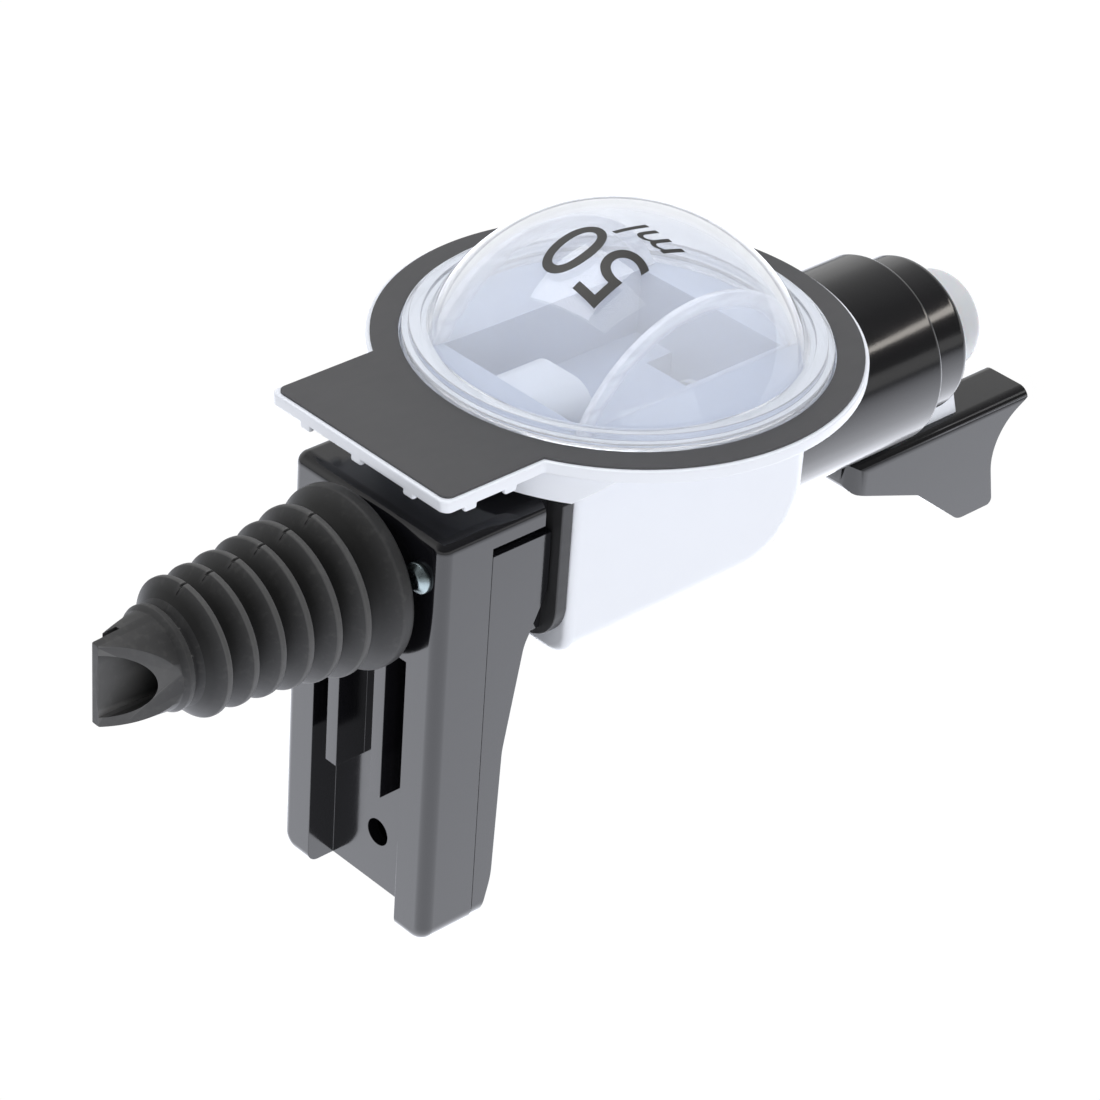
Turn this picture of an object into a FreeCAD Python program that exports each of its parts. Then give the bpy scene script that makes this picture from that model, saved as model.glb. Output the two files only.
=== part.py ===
import FreeCAD, Part
import math
import os
import re
import Sketcher

# Liquor optic dispenser, 50 ml, hung cork up on a back-bar bracket.
# Every piece is drawn about the valve axis: X across, Y towards the wall, Z up to the bottle,
# with Z = 0 at the centre of the window. Each Placement then moves it into the frame of the
# part, whose origin is the lock-screw hole on the face of the bracket's web.

sizes = {
    # face plate and its label
    "faceFront": 23.3,       # valve axis to the front of the label
    "labelThick": 0.4,
    "labelInset": 0.7,
    "plateThick": 2.1,
    "plateMargin": 5.6,      # window rim to the edge of the plate
    "tabWidth": 41.0,
    "tabTop": 54.2,
    "tabCorner": 1.6,
    "nubLength": 2.4,
    "nubDepth": 0.9,
    "nubWidth": 1.1,
    "nubPitch": 12.0,
    "nubSetback": 4.0,
    # window dome
    "rimRadius": 34.4,
    "rimGap": 0.2,
    "rimStand": 2.0,
    "rimStep": 1.0,
    "rimStepWidth": 1.1,
    "grooveDepth": 0.5,
    "grooveWidth": 1.1,
    "domeBase": 30.2,
    "domeRise": 19.0,
    "domeWall": 1.8,
    "cheekWall": 1.2,
    "gasketThick": 1.2,
    "gasketWidth": 4.4,
    # body shell
    "bodyWidth": 40.0,
    "bodyTop": 26.4,
    "bodyBottom": 27.4,
    "bodyBack": 17.4,
    "bodySideWall": 2.2,
    "bodyEndWall": 2.5,
    "bodyHeel": 14.5,
    "hollowHeel": 12.5,
    "bodyEdge": 1.5,
    "bodyBackEdge": 4.5,
    "discMargin": 2.0,       # window rim to the edge of the disc
    "discThick": 2.0,
    "lipInset": 1.5,
    "lipDepth": 5.4,
    "lipHalf": 23.2,
    # chamber tray
    "trayWall": 1.5,
    "trayGap": 0.3,
    "trayLift": 2.6,
    "floorPort": 6.0,        # openings in the floor at both ends of the valve's channel
    # inlet side of the valve
    "inletBore": 6.0,
    "inletWall": 1.4,
    "archTop": 1.8,          # below the label's front
    "archLength": 10.4,
    "archCorner": 4.5,
    "boreGap": 0.1,
    # outlet side of the valve
    "seatThick": 1.5,
    "seatLip": 0.6,
    "seatNeck": 6.0,
    "skirtRadius": 5.2,
    "skirtBore": 4.0,
    "skirtLap": 4.9,
    # spindle and its seals
    "spindleRadius": 2.0,
    "pistonTop": 10.0,
    "pistonRadius": 4.7,
    "pistonLength": 5.8,
    "pistonSeal": 2.8,
    "sealDepth": 1.3,
    "runningGap": 0.05,
    "outletSealThick": 2.4,
    "softGap": 0.3,
    "spiderLength": 6.0,
    "spiderRib": 1.2,
    # barrel, collar and nozzle
    "barrelRadius": 16.8,
    "barrelEnd": 62.0,
    "barrelBore": 13.4,
    "barrelTopWall": 3.0,
    "barrelEdge": 1.2,
    "barrelSealWire": 0.7,
    "collarRadius": 14.0,
    "collarEnd": 71.8,
    "collarShoulder": 2.2,
    "collarSpigot": 6.0,
    "nozzleRadius": 9.0,
    "nozzleEnd": 81.2,
    "nozzleRound": 3.0,
    "nozzleBore": 5.4,
    "nozzleTube": 7.0,
    "stopGap": 0.5,
    "nozzleFlange": 12.8,
    "flangeThick": 2.0,
    "pushTravel": 8.0,
    # return spring
    "springRadius": 10.4,
    "springWire": 0.6,
    "springTurns": 6.5,
    # key and push lever
    "keyHalf": 3.0,
    "keyFlat": 8.3,
    "keyTop": 74.5,
    "keyNeck": 80.2,
    "keyFoot": 83.5,
    "keyRoot": 3.2,
    "keyGap": 0.05,
    "leverTop": 19.1,
    "leverHalf": 5.6,
    "leverStart": 54.0,
    "leverEnd": 99.8,
    "leverNose": 5.2,
    "leverEdge": 2.2,
    "barDepth": 12.0,
    "barEnd": 72.5,
    "footDepth": 21.6,
    "footRound": 3.8,
    "footStart": 84.5,
    "footEnd": 93.6,
    "restDeep": 90.6,
    "restReach": 6.6,
    "restRadius": 10.5,
    "leverTip": 1.6,
    # bracket
    "holeReach": 53.2,       # valve axis to the lock-screw hole
    "webFace": 46.3,         # centre of the window to the face of the web
    "webThick": 2.1,
    "lockHole": 2.4,
    "bracketHalf": 17.8,
    "bracketFront": 12.8,
    "bracketWall": 63.6,
    "bracketTop": 51.7,
    "bracketFoot": 28.7,
    "bracketSplit": 41.2,
    "splitGap": 0.3,
    "bracketEdge": 2.2,
    "bracketEndCorner": 3.4,
    "frontLip": 4.2,
    "frontLipFoot": 30.6,
    "coreHalf": 16.0,
    "blockBack": 11.7,
    "channelHalf": 10.75,
    "ribOffset": 5.4,
    "ribWidth": 2.6,
    "ribEnd": 39.8,
    "ribHigh": 5.9,
    "coverGap": 1.7,
    "coverSkin": 1.8,
    "coverInset": 0.25,
    # flange gasket, spigot, vent tube and screws
    "flangeHalf": 19.4,
    "flangeFront": 12.3,
    "flangeBack": 14.2,
    "flangeCorner": 7.0,
    "spigotFlange": 11.0,
    "spigotFlangeThick": 2.0,
    "spigotRadius": 6.4,
    "spigotBore": 5.2,
    "spigotEnd": 82.0,
    "spigotBarb": 0.6,
    "spigotGap": 0.2,
    "ventRadius": 1.5,
    "ventBore": 1.0,
    "ventOffset": 3.2,
    "ventStart": 21.0,
    "ventEnd": 91.0,
    "screwSide": 13.0,
    "screwFront": 5.2,
    "screwHead": 2.6,
    "screwHeadHigh": 1.7,
    "screwShank": 1.4,
    "screwTip": 16.5,
    "screwGap": 0.3,
    "bossHalf": 2.9,
    "bossEnd": 14.0,
    # cork
    "corkNeck": 9.8,
    "corkStand": 2.3,
    "corkCollar": 15.1,
    "corkCollarHigh": 2.3,
    "corkCollarEdge": 1.0,
    "finStart": 62.2,
    "finPitch": 4.87,
    "finRadius": 14.0,
    "finTaper": 1.04,
    "finSwell": 0.097,
    "finDepth": 3.1,
    "tipFin": 8.5,
    "corkNose": 103.0,
    "corkNoseRadius": 7.2,
    "corkNoseRoot": 7.9,
    "corkBoreTop": 84.5,
    "finLip": 0.9,
    "septum": 1.4,
    "portStart": 92.8,
    "portLedge": 7.8,
    "passageDepth": 6.1,
    "passageHalf": 5.9,
    "noseBack": 4.3,
    "slotLength": 5.0,
    "slotWidth": 0.9,
    "slotDepth": 1.4,
}

doc = FreeCAD.newDocument("LiquorOptic")
sheet = doc.addObject("Spreadsheet::Sheet", "Sizes")
for row, (word, size) in enumerate(sizes.items(), 1):
    sheet.set(f"A{row}", word)
    sheet.set(f"B{row}", str(size))
    sheet.setAlias(f"B{row}", word)
doc.recompute()


# ---- drawing helpers: sizes and places are expressions on the words of the sheet

def linked(text):
    return re.sub(r"\b(?!sqrt\b)[A-Za-z]\w*", r"Sizes.\g<0>", text)


def number(text):
    return float(sheet.evalExpression(linked(text)))


def newBody(label):
    body = doc.addObject("PartDesign::Body", label)
    body.Label = label
    seat(body)
    return body


def seat(piece):
    piece.setExpression("Placement.Base.y", linked("-holeReach"))
    piece.setExpression("Placement.Base.z", linked("-webFace"))


def newSketch(body, plane, name, offset=None):
    sketch = body.newObject("Sketcher::SketchObject", name)
    origin = next(f for f in body.Origin.OriginFeatures if f.Role == plane + "_Plane")
    sketch.AttachmentSupport = [(origin, "")]
    sketch.MapMode = "FlatFace"
    if offset:
        sketch.setExpression("AttachmentOffset.Base.z", linked(offset))
    return sketch


def bind(sketch, kind, where, text, name):
    if text == "0" and kind in ("DistanceX", "DistanceY"):
        axis = -2 if kind == "DistanceX" else -1
        sketch.addConstraint(Sketcher.Constraint("PointOnObject", *where, axis))
        return
    first = (-1, 1) if kind in ("DistanceX", "DistanceY") else ()
    index = sketch.addConstraint(Sketcher.Constraint(kind, *first, *where, number(text)))
    sketch.renameConstraint(index, name)
    sketch.setExpression("Constraints." + name, linked(text))


def circle(sketch, radius, x="0", y="0"):
    centre = FreeCAD.Vector(number(x), number(y), 0)
    shape = Part.Circle(centre, FreeCAD.Vector(0, 0, 1), number(radius))
    index = sketch.addGeometry(shape, False)
    bind(sketch, "Radius", (index,), radius, f"radius{index}")
    bind(sketch, "DistanceX", (index, 3), x, f"across{index}")
    bind(sketch, "DistanceY", (index, 3), y, f"along{index}")


def cornerArc(before, here, after, radius):
    back = (before - here).normalize()
    ahead = (after - here).normalize()
    half = back.getAngle(ahead) / 2
    reach = radius / math.tan(half)
    start = here + back * reach
    end = here + ahead * reach
    centre = here + (back + ahead).normalize() * (radius / math.sin(half))
    turnsLeft = back.cross(ahead).z < 0
    first, last = (start, end) if turnsLeft else (end, start)
    ring = Part.Circle(centre, FreeCAD.Vector(0, 0, 1), radius)
    angles = [math.atan2(p.y - centre.y, p.x - centre.x) for p in (first, last)]
    return start, end, Part.ArcOfCircle(ring, *angles), turnsLeft


def outline(sketch, corners):
    # a closed outline; each corner is (x, y) or (x, y, rounding)
    places = [FreeCAD.Vector(number(c[0]), number(c[1]), 0) for c in corners]
    total = len(corners)
    tag = sketch.GeometryCount
    starts, ends, arcs = list(places), list(places), {}
    for i, corner in enumerate(corners):
        if len(corner) == 3:
            around = places[i - 1], places[i], places[(i + 1) % total], number(corner[2])
            starts[i], ends[i], arc, turnsLeft = cornerArc(*around)
            arcs[i] = (arc, turnsLeft)
    lines = []
    for i in range(total):
        side = Part.LineSegment(ends[i], starts[(i + 1) % total])
        lines.append(sketch.addGeometry(side, False))
    for i, corner in enumerate(corners):
        before, after = lines[i - 1], lines[i]
        if i not in arcs:
            sketch.addConstraint(Sketcher.Constraint("Coincident", before, 2, after, 1))
            bind(sketch, "DistanceX", (after, 1), corner[0], f"x{tag}_{i}")
            bind(sketch, "DistanceY", (after, 1), corner[1], f"y{tag}_{i}")
            continue
        arc, turnsLeft = arcs[i]
        bend = sketch.addGeometry(arc, False)
        point = sketch.addGeometry(Part.Point(places[i]), True)
        enter, leave = (1, 2) if turnsLeft else (2, 1)
        sketch.addConstraint(Sketcher.Constraint("Tangent", before, 2, bend, enter))
        sketch.addConstraint(Sketcher.Constraint("Tangent", bend, leave, after, 1))
        sketch.addConstraint(Sketcher.Constraint("PointOnObject", point, 1, before))
        sketch.addConstraint(Sketcher.Constraint("PointOnObject", point, 1, after))
        bind(sketch, "DistanceX", (point, 1), corner[0], f"x{tag}_{i}")
        bind(sketch, "DistanceY", (point, 1), corner[1], f"y{tag}_{i}")
        bind(sketch, "Radius", (bend,), corner[2], f"r{tag}_{i}")


def box(sketch, x0, x1, y0, y1, rounding=None):
    extra = (rounding,) if rounding else ()
    outline(sketch, [(x, y) + extra for x, y in ((x0, y0), (x1, y0), (x1, y1), (x0, y1))])


def feature(body, kind, name, sketch, **settings):
    made = body.newObject("PartDesign::" + kind, name)
    made.Profile = sketch
    for key, value in settings.items():
        if isinstance(value, str) and key not in ("Type", "SideType"):
            made.setExpression(key, linked(value))
        else:
            setattr(made, key, value)
    sketch.Visibility = False
    body.Tip = made
    return made


def padUp(body, name, start, end, draw):
    # from the level start to the level end, along +Z
    sketch = newSketch(body, "XY", name + "Sketch", start)
    draw(sketch)
    return feature(body, "Pad", name, sketch, Length=f"({end}) - ({start})")


def cutUp(body, name, start, end, draw):
    sketch = newSketch(body, "XY", name + "Sketch", end)
    draw(sketch)
    return feature(body, "Pocket", name, sketch, Length=f"({end}) - ({start})")


def padBack(body, name, front, back, draw):
    # from the depth front to the depth back, along +Y
    sketch = newSketch(body, "XZ", name + "Sketch", f"-({back})")
    draw(sketch)
    return feature(body, "Pad", name, sketch, Length=f"({back}) - ({front})")


def cutBack(body, name, front, back, draw):
    sketch = newSketch(body, "XZ", name + "Sketch", f"-({front})")
    draw(sketch)
    return feature(body, "Pocket", name, sketch, Length=f"({back}) - ({front})")


def padAcross(body, name, left, right, draw):
    # from x = left to x = right
    sketch = newSketch(body, "YZ", name + "Sketch", left)
    draw(sketch)
    return feature(body, "Pad", name, sketch, Length=f"({right}) - ({left})")


def cutAcross(body, name, left, right, draw):
    sketch = newSketch(body, "YZ", name + "Sketch", right)
    draw(sketch)
    return feature(body, "Pocket", name, sketch, Length=f"({right}) - ({left})")


def spin(body, name, corners, plane="XZ"):
    # a solid of revolution about the sketch's upright axis
    sketch = newSketch(body, plane, name + "Sketch")
    outline(sketch, corners)
    made = feature(body, "Revolution", name, sketch, Angle=360.0)
    made.ReferenceAxis = (sketch, ["V_Axis"])
    return made


def mirrorAcross(body, name, *originals):
    plane = next(f for f in body.Origin.OriginFeatures if f.Role == "YZ_Plane")
    made = body.newObject("PartDesign::Mirrored", name)
    made.Originals = list(originals)
    made.MirrorPlane = (plane, [""])
    body.Tip = made
    return made


def roundEdges(body, name, radius, wanted):
    doc.recompute()
    base = body.Tip
    names = [f"Edge{i}" for i, edge in enumerate(base.Shape.Edges, 1) if wanted(edge)]
    made = body.newObject("PartDesign::Fillet", name)
    made.Base = (base, names)
    made.setExpression("Radius", linked(radius))
    body.Tip = made
    return made


def runsAlong(edge, axis):
    # a straight edge parallel to an axis, "x", "y" or "z"
    if edge.Curve.TypeId != "Part::GeomLine":
        return False
    direction = edge.Curve.Direction
    return abs(abs(getattr(direction, axis)) - 1) < 1e-6


def liesAt(edge, axis, text, slack=0.01):
    value = number(text)
    return all(abs(getattr(v.Point, axis) - value) < slack for v in edge.Vertexes)


# ---- levels that several pieces share

labelBack = "(labelThick - faceFront)"
plateBack = "(labelThick + plateThick - faceFront)"
gasketFront = f"({plateBack} - gasketThick)"
rimFront = "(-faceFront - rimStand)"
plateRadius = "(rimRadius + plateMargin)"
discRadius = "(rimRadius + discMargin)"
lipRadius = f"({plateRadius} - lipInset)"
trayFloor = "(-screwFront - bossHalf - trayGap - trayWall)"
floorBack = f"({trayFloor} + trayWall)"
chamberHalf = "(bodyWidth / 2 - bodySideWall - trayGap - trayWall)"
trayTop = "(bodyTop - bodyEndWall - trayGap)"
trayBottom = "(bodyEndWall + trayLift - bodyBottom)"
chamberTop = f"({trayTop} - trayWall)"
chamberBottom = f"({trayBottom} + trayWall)"
seatTop = f"({chamberBottom} + seatThick + seatLip)"
outletSealBottom = f"({seatTop} + softGap)"
outletSealTop = f"({outletSealBottom} + outletSealThick)"
barrelRoof = "(-bodyBottom - barrelTopWall)"
sealHalf = "(barrelSealWire + runningGap)"
sealRadius = f"(seatNeck + {sealHalf})"
sealLevel = f"({barrelRoof} + barrelTopWall / 2)"
nozzleTop = f"({barrelRoof} - pushTravel - stopGap)"
skirtEnd = f"({nozzleTop} - skirtLap)"
spiderTop = f"({skirtEnd} - pushTravel - stopGap)"
spiderEnd = f"({spiderTop} - spiderLength)"
springFoot = "(-barrelEnd + collarSpigot + softGap + flangeThick)"
noseRadius = "(inletBore + inletWall)"
troughRadius = f"({noseRadius} + boreGap)"
flangeRadius = f"({troughRadius} - boreGap)"
washerRadius = f"({troughRadius} - softGap)"
hollowBack = "(bodyBack - bodySideWall)"
wellBack = f"({hollowBack} - trayGap - trayWall - {troughRadius})"
wellFoot = ("(bodyEndWall - bodyBottom + hollowHeel + trayGap"
            " - sqrt(hollowHeel^2 - (hollowHeel - trayGap)^2))")
archDepth = "(archTop - faceFront)"
sphereRadius = "((domeBase^2 + domeRise^2) / (2 * domeRise))"
sphereCentre = f"({rimFront} - domeRise + {sphereRadius})"
coverFront = "(-bracketFront + frontLip + coverGap)"
finCount = 7


# ---- face plate, with the nubs that clip its edge

def makePlate():
    body = newBody("face_plate")
    padBack(body, "PlateDisc", labelBack, plateBack, lambda s: circle(s, plateRadius))
    tab = [("-tabWidth / 2", "0"), ("tabWidth / 2", "0"),
           ("tabWidth / 2", "tabTop", "tabCorner"), ("-tabWidth / 2", "tabTop", "tabCorner")]
    padBack(body, "PlateTab", labelBack, plateBack, lambda s: outline(s, tab))
    nubBack = f"{plateBack} + nubDepth"
    for index, place in enumerate(("-nubPitch", "0", "nubPitch")):
        left, right = f"{place} - nubLength / 2", f"{place} + nubLength / 2"
        padBack(body, f"EndNub{index}", plateBack, nubBack,
                lambda s: box(s, left, right, "tabTop - nubWidth", "tabTop"))
    sides = []
    for index, step in enumerate((1, 3)):
        top = f"tabTop - nubSetback * {step}"
        sides.append(padBack(body, f"SideNub{index}", plateBack, nubBack,
                             lambda s: box(s, "tabWidth / 2 - nubWidth", "tabWidth / 2",
                                           f"{top} - nubLength", top)))
    mirrorAcross(body, "SideNubsFar", *sides)
    cutBack(body, "WindowHole", labelBack, plateBack,
            lambda s: circle(s, "rimRadius + rimGap"))


def makeLabel():
    body = newBody("face_label")
    padBack(body, "LabelDisc", "-faceFront", labelBack,
            lambda s: circle(s, f"{plateRadius} - labelInset"))
    half = "(tabWidth / 2 - labelInset)"
    top = "tabTop - labelInset"
    tab = [(f"-{half}", "0"), (half, "0"), (half, top, "tabCorner"), (f"-{half}", top, "tabCorner")]
    padBack(body, "LabelTab", "-faceFront", labelBack, lambda s: outline(s, tab))
    cutBack(body, "LabelHole", "-faceFront", labelBack,
            lambda s: circle(s, "rimRadius + 2 * rimGap"))


# ---- window dome: a stepped rim, a spherical cap and two inner cheeks

def arcAbout(sketch, radius, centreY, firstAngle, lastAngle):
    centre = FreeCAD.Vector(0, number(centreY), 0)
    ring = Part.Circle(centre, FreeCAD.Vector(0, 0, 1), number(radius))
    index = sketch.addGeometry(Part.ArcOfCircle(ring, firstAngle, lastAngle), False)
    bind(sketch, "Radius", (index,), radius, f"radius{index}")
    bind(sketch, "DistanceX", (index, 3), "0", f"across{index}")
    bind(sketch, "DistanceY", (index, 3), centreY, f"along{index}")
    return index


def makeDome():
    body = newBody("window_dome")
    sketch = newSketch(body, "XY", "DomeSketch")
    inner = f"({sphereRadius} - domeWall)"
    innerFoot = f"sqrt({inner}^2 - ({sphereCentre} - {gasketFront})^2)"
    corners = [
        (innerFoot, gasketFront), ("rimRadius", gasketFront),
        ("rimRadius", f"{rimFront} + rimStep"), ("rimRadius - rimStepWidth", f"{rimFront} + rimStep"),
        ("rimRadius - rimStepWidth", rimFront), ("domeBase + grooveWidth", rimFront),
        ("domeBase + grooveWidth", f"{rimFront} + grooveDepth"),
        (f"sqrt({sphereRadius}^2 - ({sphereCentre} - {rimFront} - grooveDepth)^2)",
         f"{rimFront} + grooveDepth"),
    ]
    spots = [FreeCAD.Vector(number(x), number(y), 0) for x, y in corners]
    lines = [sketch.addGeometry(Part.LineSegment(a, b), False) for a, b in zip(spots, spots[1:])]
    for index, (x, y) in enumerate(corners):
        where = (lines[index], 1) if index < len(lines) else (lines[-1], 2)
        if index and index < len(lines):
            join = Sketcher.Constraint("Coincident", lines[index - 1], 2, lines[index], 1)
            sketch.addConstraint(join)
        if index not in (0, len(lines)):
            bind(sketch, "DistanceX", where, x, f"x_{index}")
        bind(sketch, "DistanceY", where, y, f"y_{index}")
    centreY = number(sphereCentre)
    apex = -math.pi / 2
    outerEnd = math.atan2(spots[-1].y - centreY, spots[-1].x)
    innerEnd = math.atan2(spots[0].y - centreY, spots[0].x)
    outerArc = arcAbout(sketch, sphereRadius, sphereCentre, apex, outerEnd)
    innerArc = arcAbout(sketch, inner, sphereCentre, apex, innerEnd)
    crown = sketch.addGeometry(Part.LineSegment(
        FreeCAD.Vector(0, centreY - number(sphereRadius), 0),
        FreeCAD.Vector(0, centreY - number(inner), 0)), False)
    for first, firstEnd, last, lastEnd in ((lines[-1], 2, outerArc, 2), (outerArc, 1, crown, 1),
                                           (crown, 2, innerArc, 1), (innerArc, 2, lines[0], 1)):
        sketch.addConstraint(Sketcher.Constraint("Coincident", first, firstEnd, last, lastEnd))
    for end in (1, 2):
        sketch.addConstraint(Sketcher.Constraint("PointOnObject", crown, end, -2))
    made = feature(body, "Revolution", "Dome", sketch, Angle=360.0)
    made.ReferenceAxis = (sketch, ["V_Axis"])
    # the cheeks carry the chamber's side walls up to the cap
    middle = f"({chamberHalf} + cheekWall / 2)"
    cheekRadius = f"sqrt(({sphereRadius} - domeWall / 2)^2 - {middle}^2)"
    cheekReach = f"sqrt({cheekRadius}^2 - ({sphereCentre} - {gasketFront})^2)"
    cheek = newSketch(body, "YZ", "CheekSketch", chamberHalf)
    centre = FreeCAD.Vector(centreY, 0, 0)
    ring = Part.Circle(centre, FreeCAD.Vector(0, 0, 1), number(cheekRadius))
    reach = number(cheekReach)
    foot = number(gasketFront)
    side = math.atan2(reach, foot - centreY)
    bow = cheek.addGeometry(Part.ArcOfCircle(ring, side, -side), False)
    chord = cheek.addGeometry(Part.LineSegment(FreeCAD.Vector(foot, -reach, 0),
                                               FreeCAD.Vector(foot, reach, 0)), False)
    bind(cheek, "Radius", (bow,), cheekRadius, "cheekRadius")
    bind(cheek, "DistanceX", (bow, 3), sphereCentre, "cheekCentre")
    bind(cheek, "DistanceY", (bow, 3), "0", "cheekMiddle")
    cheek.addConstraint(Sketcher.Constraint("Coincident", bow, 2, chord, 1))
    cheek.addConstraint(Sketcher.Constraint("Coincident", bow, 1, chord, 2))
    cheek.addConstraint(Sketcher.Constraint("Vertical", chord))
    bind(cheek, "DistanceX", (chord, 1), gasketFront, "cheekFoot")
    wall = feature(body, "Pad", "Cheek", cheek, Length="cheekWall")
    mirrorAcross(body, "CheekFar", wall)


def makeWindowGasket():
    body = newBody("window_gasket")
    padBack(body, "Ring", gasketFront, plateBack, lambda s: circle(s, "rimRadius - rimGap"))
    cutBack(body, "RingHole", gasketFront, plateBack,
            lambda s: circle(s, "rimRadius - rimGap - gasketWidth"))


# ---- body shell: a box with a round heel, the disc that carries the plate, and the lip

def makeBody():
    body = newBody("measuring_body")
    half = "bodyWidth / 2"
    shell = [(plateBack, "-bodyBottom"), ("bodyBack", "-bodyBottom", "bodyHeel"),
             ("bodyBack", "bodyTop"), (plateBack, "bodyTop")]
    padAcross(body, "Box", f"-{half}", half, lambda s: outline(s, shell))

    def sides(edge):
        return liesAt(edge, "x", half) or liesAt(edge, "x", f"-{half}")

    roundEdges(body, "BackEdges", "bodyBackEdge",
               lambda e: sides(e) and runsAlong(e, "z") and liesAt(e, "y", "bodyBack"))
    roundEdges(body, "CorkEdges", "bodyEdge",
               lambda e: sides(e) and runsAlong(e, "y") and liesAt(e, "z", "bodyTop"))
    lipBack = f"({plateBack} + lipDepth)"
    lipStart = "(bodyTop - bodyEndWall)"
    lip = [("-lipHalf - lipDepth", plateBack), ("lipHalf + lipDepth", plateBack),
           ("lipHalf", lipBack), ("-lipHalf", lipBack)]
    padUp(body, "Lip", lipStart, lipRadius, lambda s: outline(s, lip))
    cutBack(body, "LipFront", plateBack, lipBack, lambda s: (
        circle(s, lipRadius), box(s, f"-2 * {lipRadius}", f"2 * {lipRadius}", f"-2 * {lipRadius}",
                                  f"2 * {lipRadius}")))
    padBack(body, "Disc", plateBack, f"{plateBack} + discThick", lambda s: circle(s, discRadius))
    wallX = f"({half} - bodySideWall)"
    hollow = [(f"{plateBack} - discThick", "bodyEndWall - bodyBottom"),
              (hollowBack, "bodyEndWall - bodyBottom", "hollowHeel"),
              (hollowBack, "bodyTop - bodyEndWall"),
              (f"{plateBack} - discThick", "bodyTop - bodyEndWall")]
    cutAcross(body, "Hollow", f"-{wallX}", wallX, lambda s: outline(s, hollow))
    boss = padUp(body, "ScrewBoss", "bossEnd", "bodyTop - bodyEndWall",
                 lambda s: box(s, f"{troughRadius} + trayWall + trayGap", wallX,
                               "-screwFront - bossHalf", "bossHalf - screwFront"))
    mirrorAcross(body, "ScrewBossFar", boss)
    pilot = cutUp(body, "Pilot", "screwTip - screwGap", "bodyTop",
                  lambda s: circle(s, "screwShank + runningGap", "screwSide", "-screwFront"))
    mirrorAcross(body, "PilotFar", pilot)
    cutUp(body, "InletHole", "bodyTop - bodyEndWall", "bodyTop",
          lambda s: circle(s, troughRadius))
    cutUp(body, "OutletHole", "-bodyBottom", trayBottom,
          lambda s: circle(s, "seatNeck + boreGap"))


def makeTray():
    body = newBody("chamber_tray")
    padBack(body, "Ledge", gasketFront, plateBack,
            lambda s: circle(s, "rimRadius - rimGap - gasketWidth - rimGap"))
    outer = f"({chamberHalf} + trayWall)"
    trough = f"({troughRadius} + trayWall)"
    padBack(body, "Tub", plateBack, floorBack,
            lambda s: box(s, f"-{outer}", outer, trayBottom, trayTop))
    padUp(body, "Trough", trayBottom, trayTop, lambda s: circle(s, trough))
    padUp(body, "TroughSides", trayBottom, trayTop,
          lambda s: box(s, f"-{trough}", trough, trayFloor, "0"))
    padUp(body, "Well", wellFoot, trayTop, lambda s: circle(s, trough, "0", wellBack))
    padUp(body, "WellSides", wellFoot, trayTop,
          lambda s: box(s, f"-{trough}", trough, "0", wellBack))
    cutBack(body, "Chamber", gasketFront, trayFloor,
            lambda s: box(s, f"-{chamberHalf}", chamberHalf, chamberBottom, chamberTop))
    cutUp(body, "Channel", chamberBottom, chamberTop, lambda s: circle(s, troughRadius))
    cutUp(body, "ChannelSides", chamberBottom, chamberTop,
          lambda s: box(s, f"-{troughRadius}", troughRadius, floorBack, "0"))
    archFoot = f"({chamberTop} - archLength)"
    for name, low, high in (("InletPort", f"{archFoot} - floorPort", chamberTop),
                            ("OutletPort", chamberBottom, f"{chamberBottom} + floorPort")):
        cutUp(body, name, low, high, lambda s: box(s, f"-{troughRadius}", troughRadius,
                                                   f"{trayFloor} - trayWall", floorBack))
    cutUp(body, "WellRoom", f"{wellFoot} + trayWall", chamberTop,
          lambda s: circle(s, troughRadius, "0", wellBack))
    cutUp(body, "WellRoomSides", f"{wellFoot} + trayWall", chamberTop,
          lambda s: box(s, f"-{troughRadius}", troughRadius, "-trayWall", wellBack))
    cutUp(body, "InletHole", chamberTop, trayTop, lambda s: circle(s, troughRadius))
    cutUp(body, "OutletHole", trayBottom, chamberBottom, lambda s: circle(s, "seatNeck + boreGap"))


# ---- valve: inlet housing, outlet seat, spindle and seals

def makeInletHousing():
    body = newBody("inlet_housing")
    bottom = f"({chamberTop} - archLength)"
    padUp(body, "Nose", bottom, "bodyTop", lambda s: circle(s, noseRadius))
    arch = [(f"-{noseRadius}", "0"), (noseRadius, "0"), (noseRadius, archDepth, "archCorner"),
            (f"-{noseRadius}", archDepth, "archCorner")]
    padUp(body, "Arch", bottom, chamberTop, lambda s: outline(s, arch))
    cutUp(body, "Bore", bottom, "bodyTop", lambda s: circle(s, "inletBore"))


def makeOutletSeat():
    body = newBody("outlet_seat")
    flangeTop = f"({chamberBottom} + seatThick)"
    lipInner, lipOuter = "(skirtBore + 1.2 * seatLip)", "(seatNeck - 0.5 * seatLip)"
    spin(body, "Seat", [
        ("skirtBore", skirtEnd), ("skirtRadius", skirtEnd), ("skirtRadius", barrelRoof),
        ("seatNeck", barrelRoof), ("seatNeck", chamberBottom), (flangeRadius, chamberBottom),
        (flangeRadius, flangeTop), (lipOuter, flangeTop), (lipOuter, seatTop),
        (lipInner, seatTop), (lipInner, flangeTop), ("skirtBore", flangeTop)])


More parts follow.
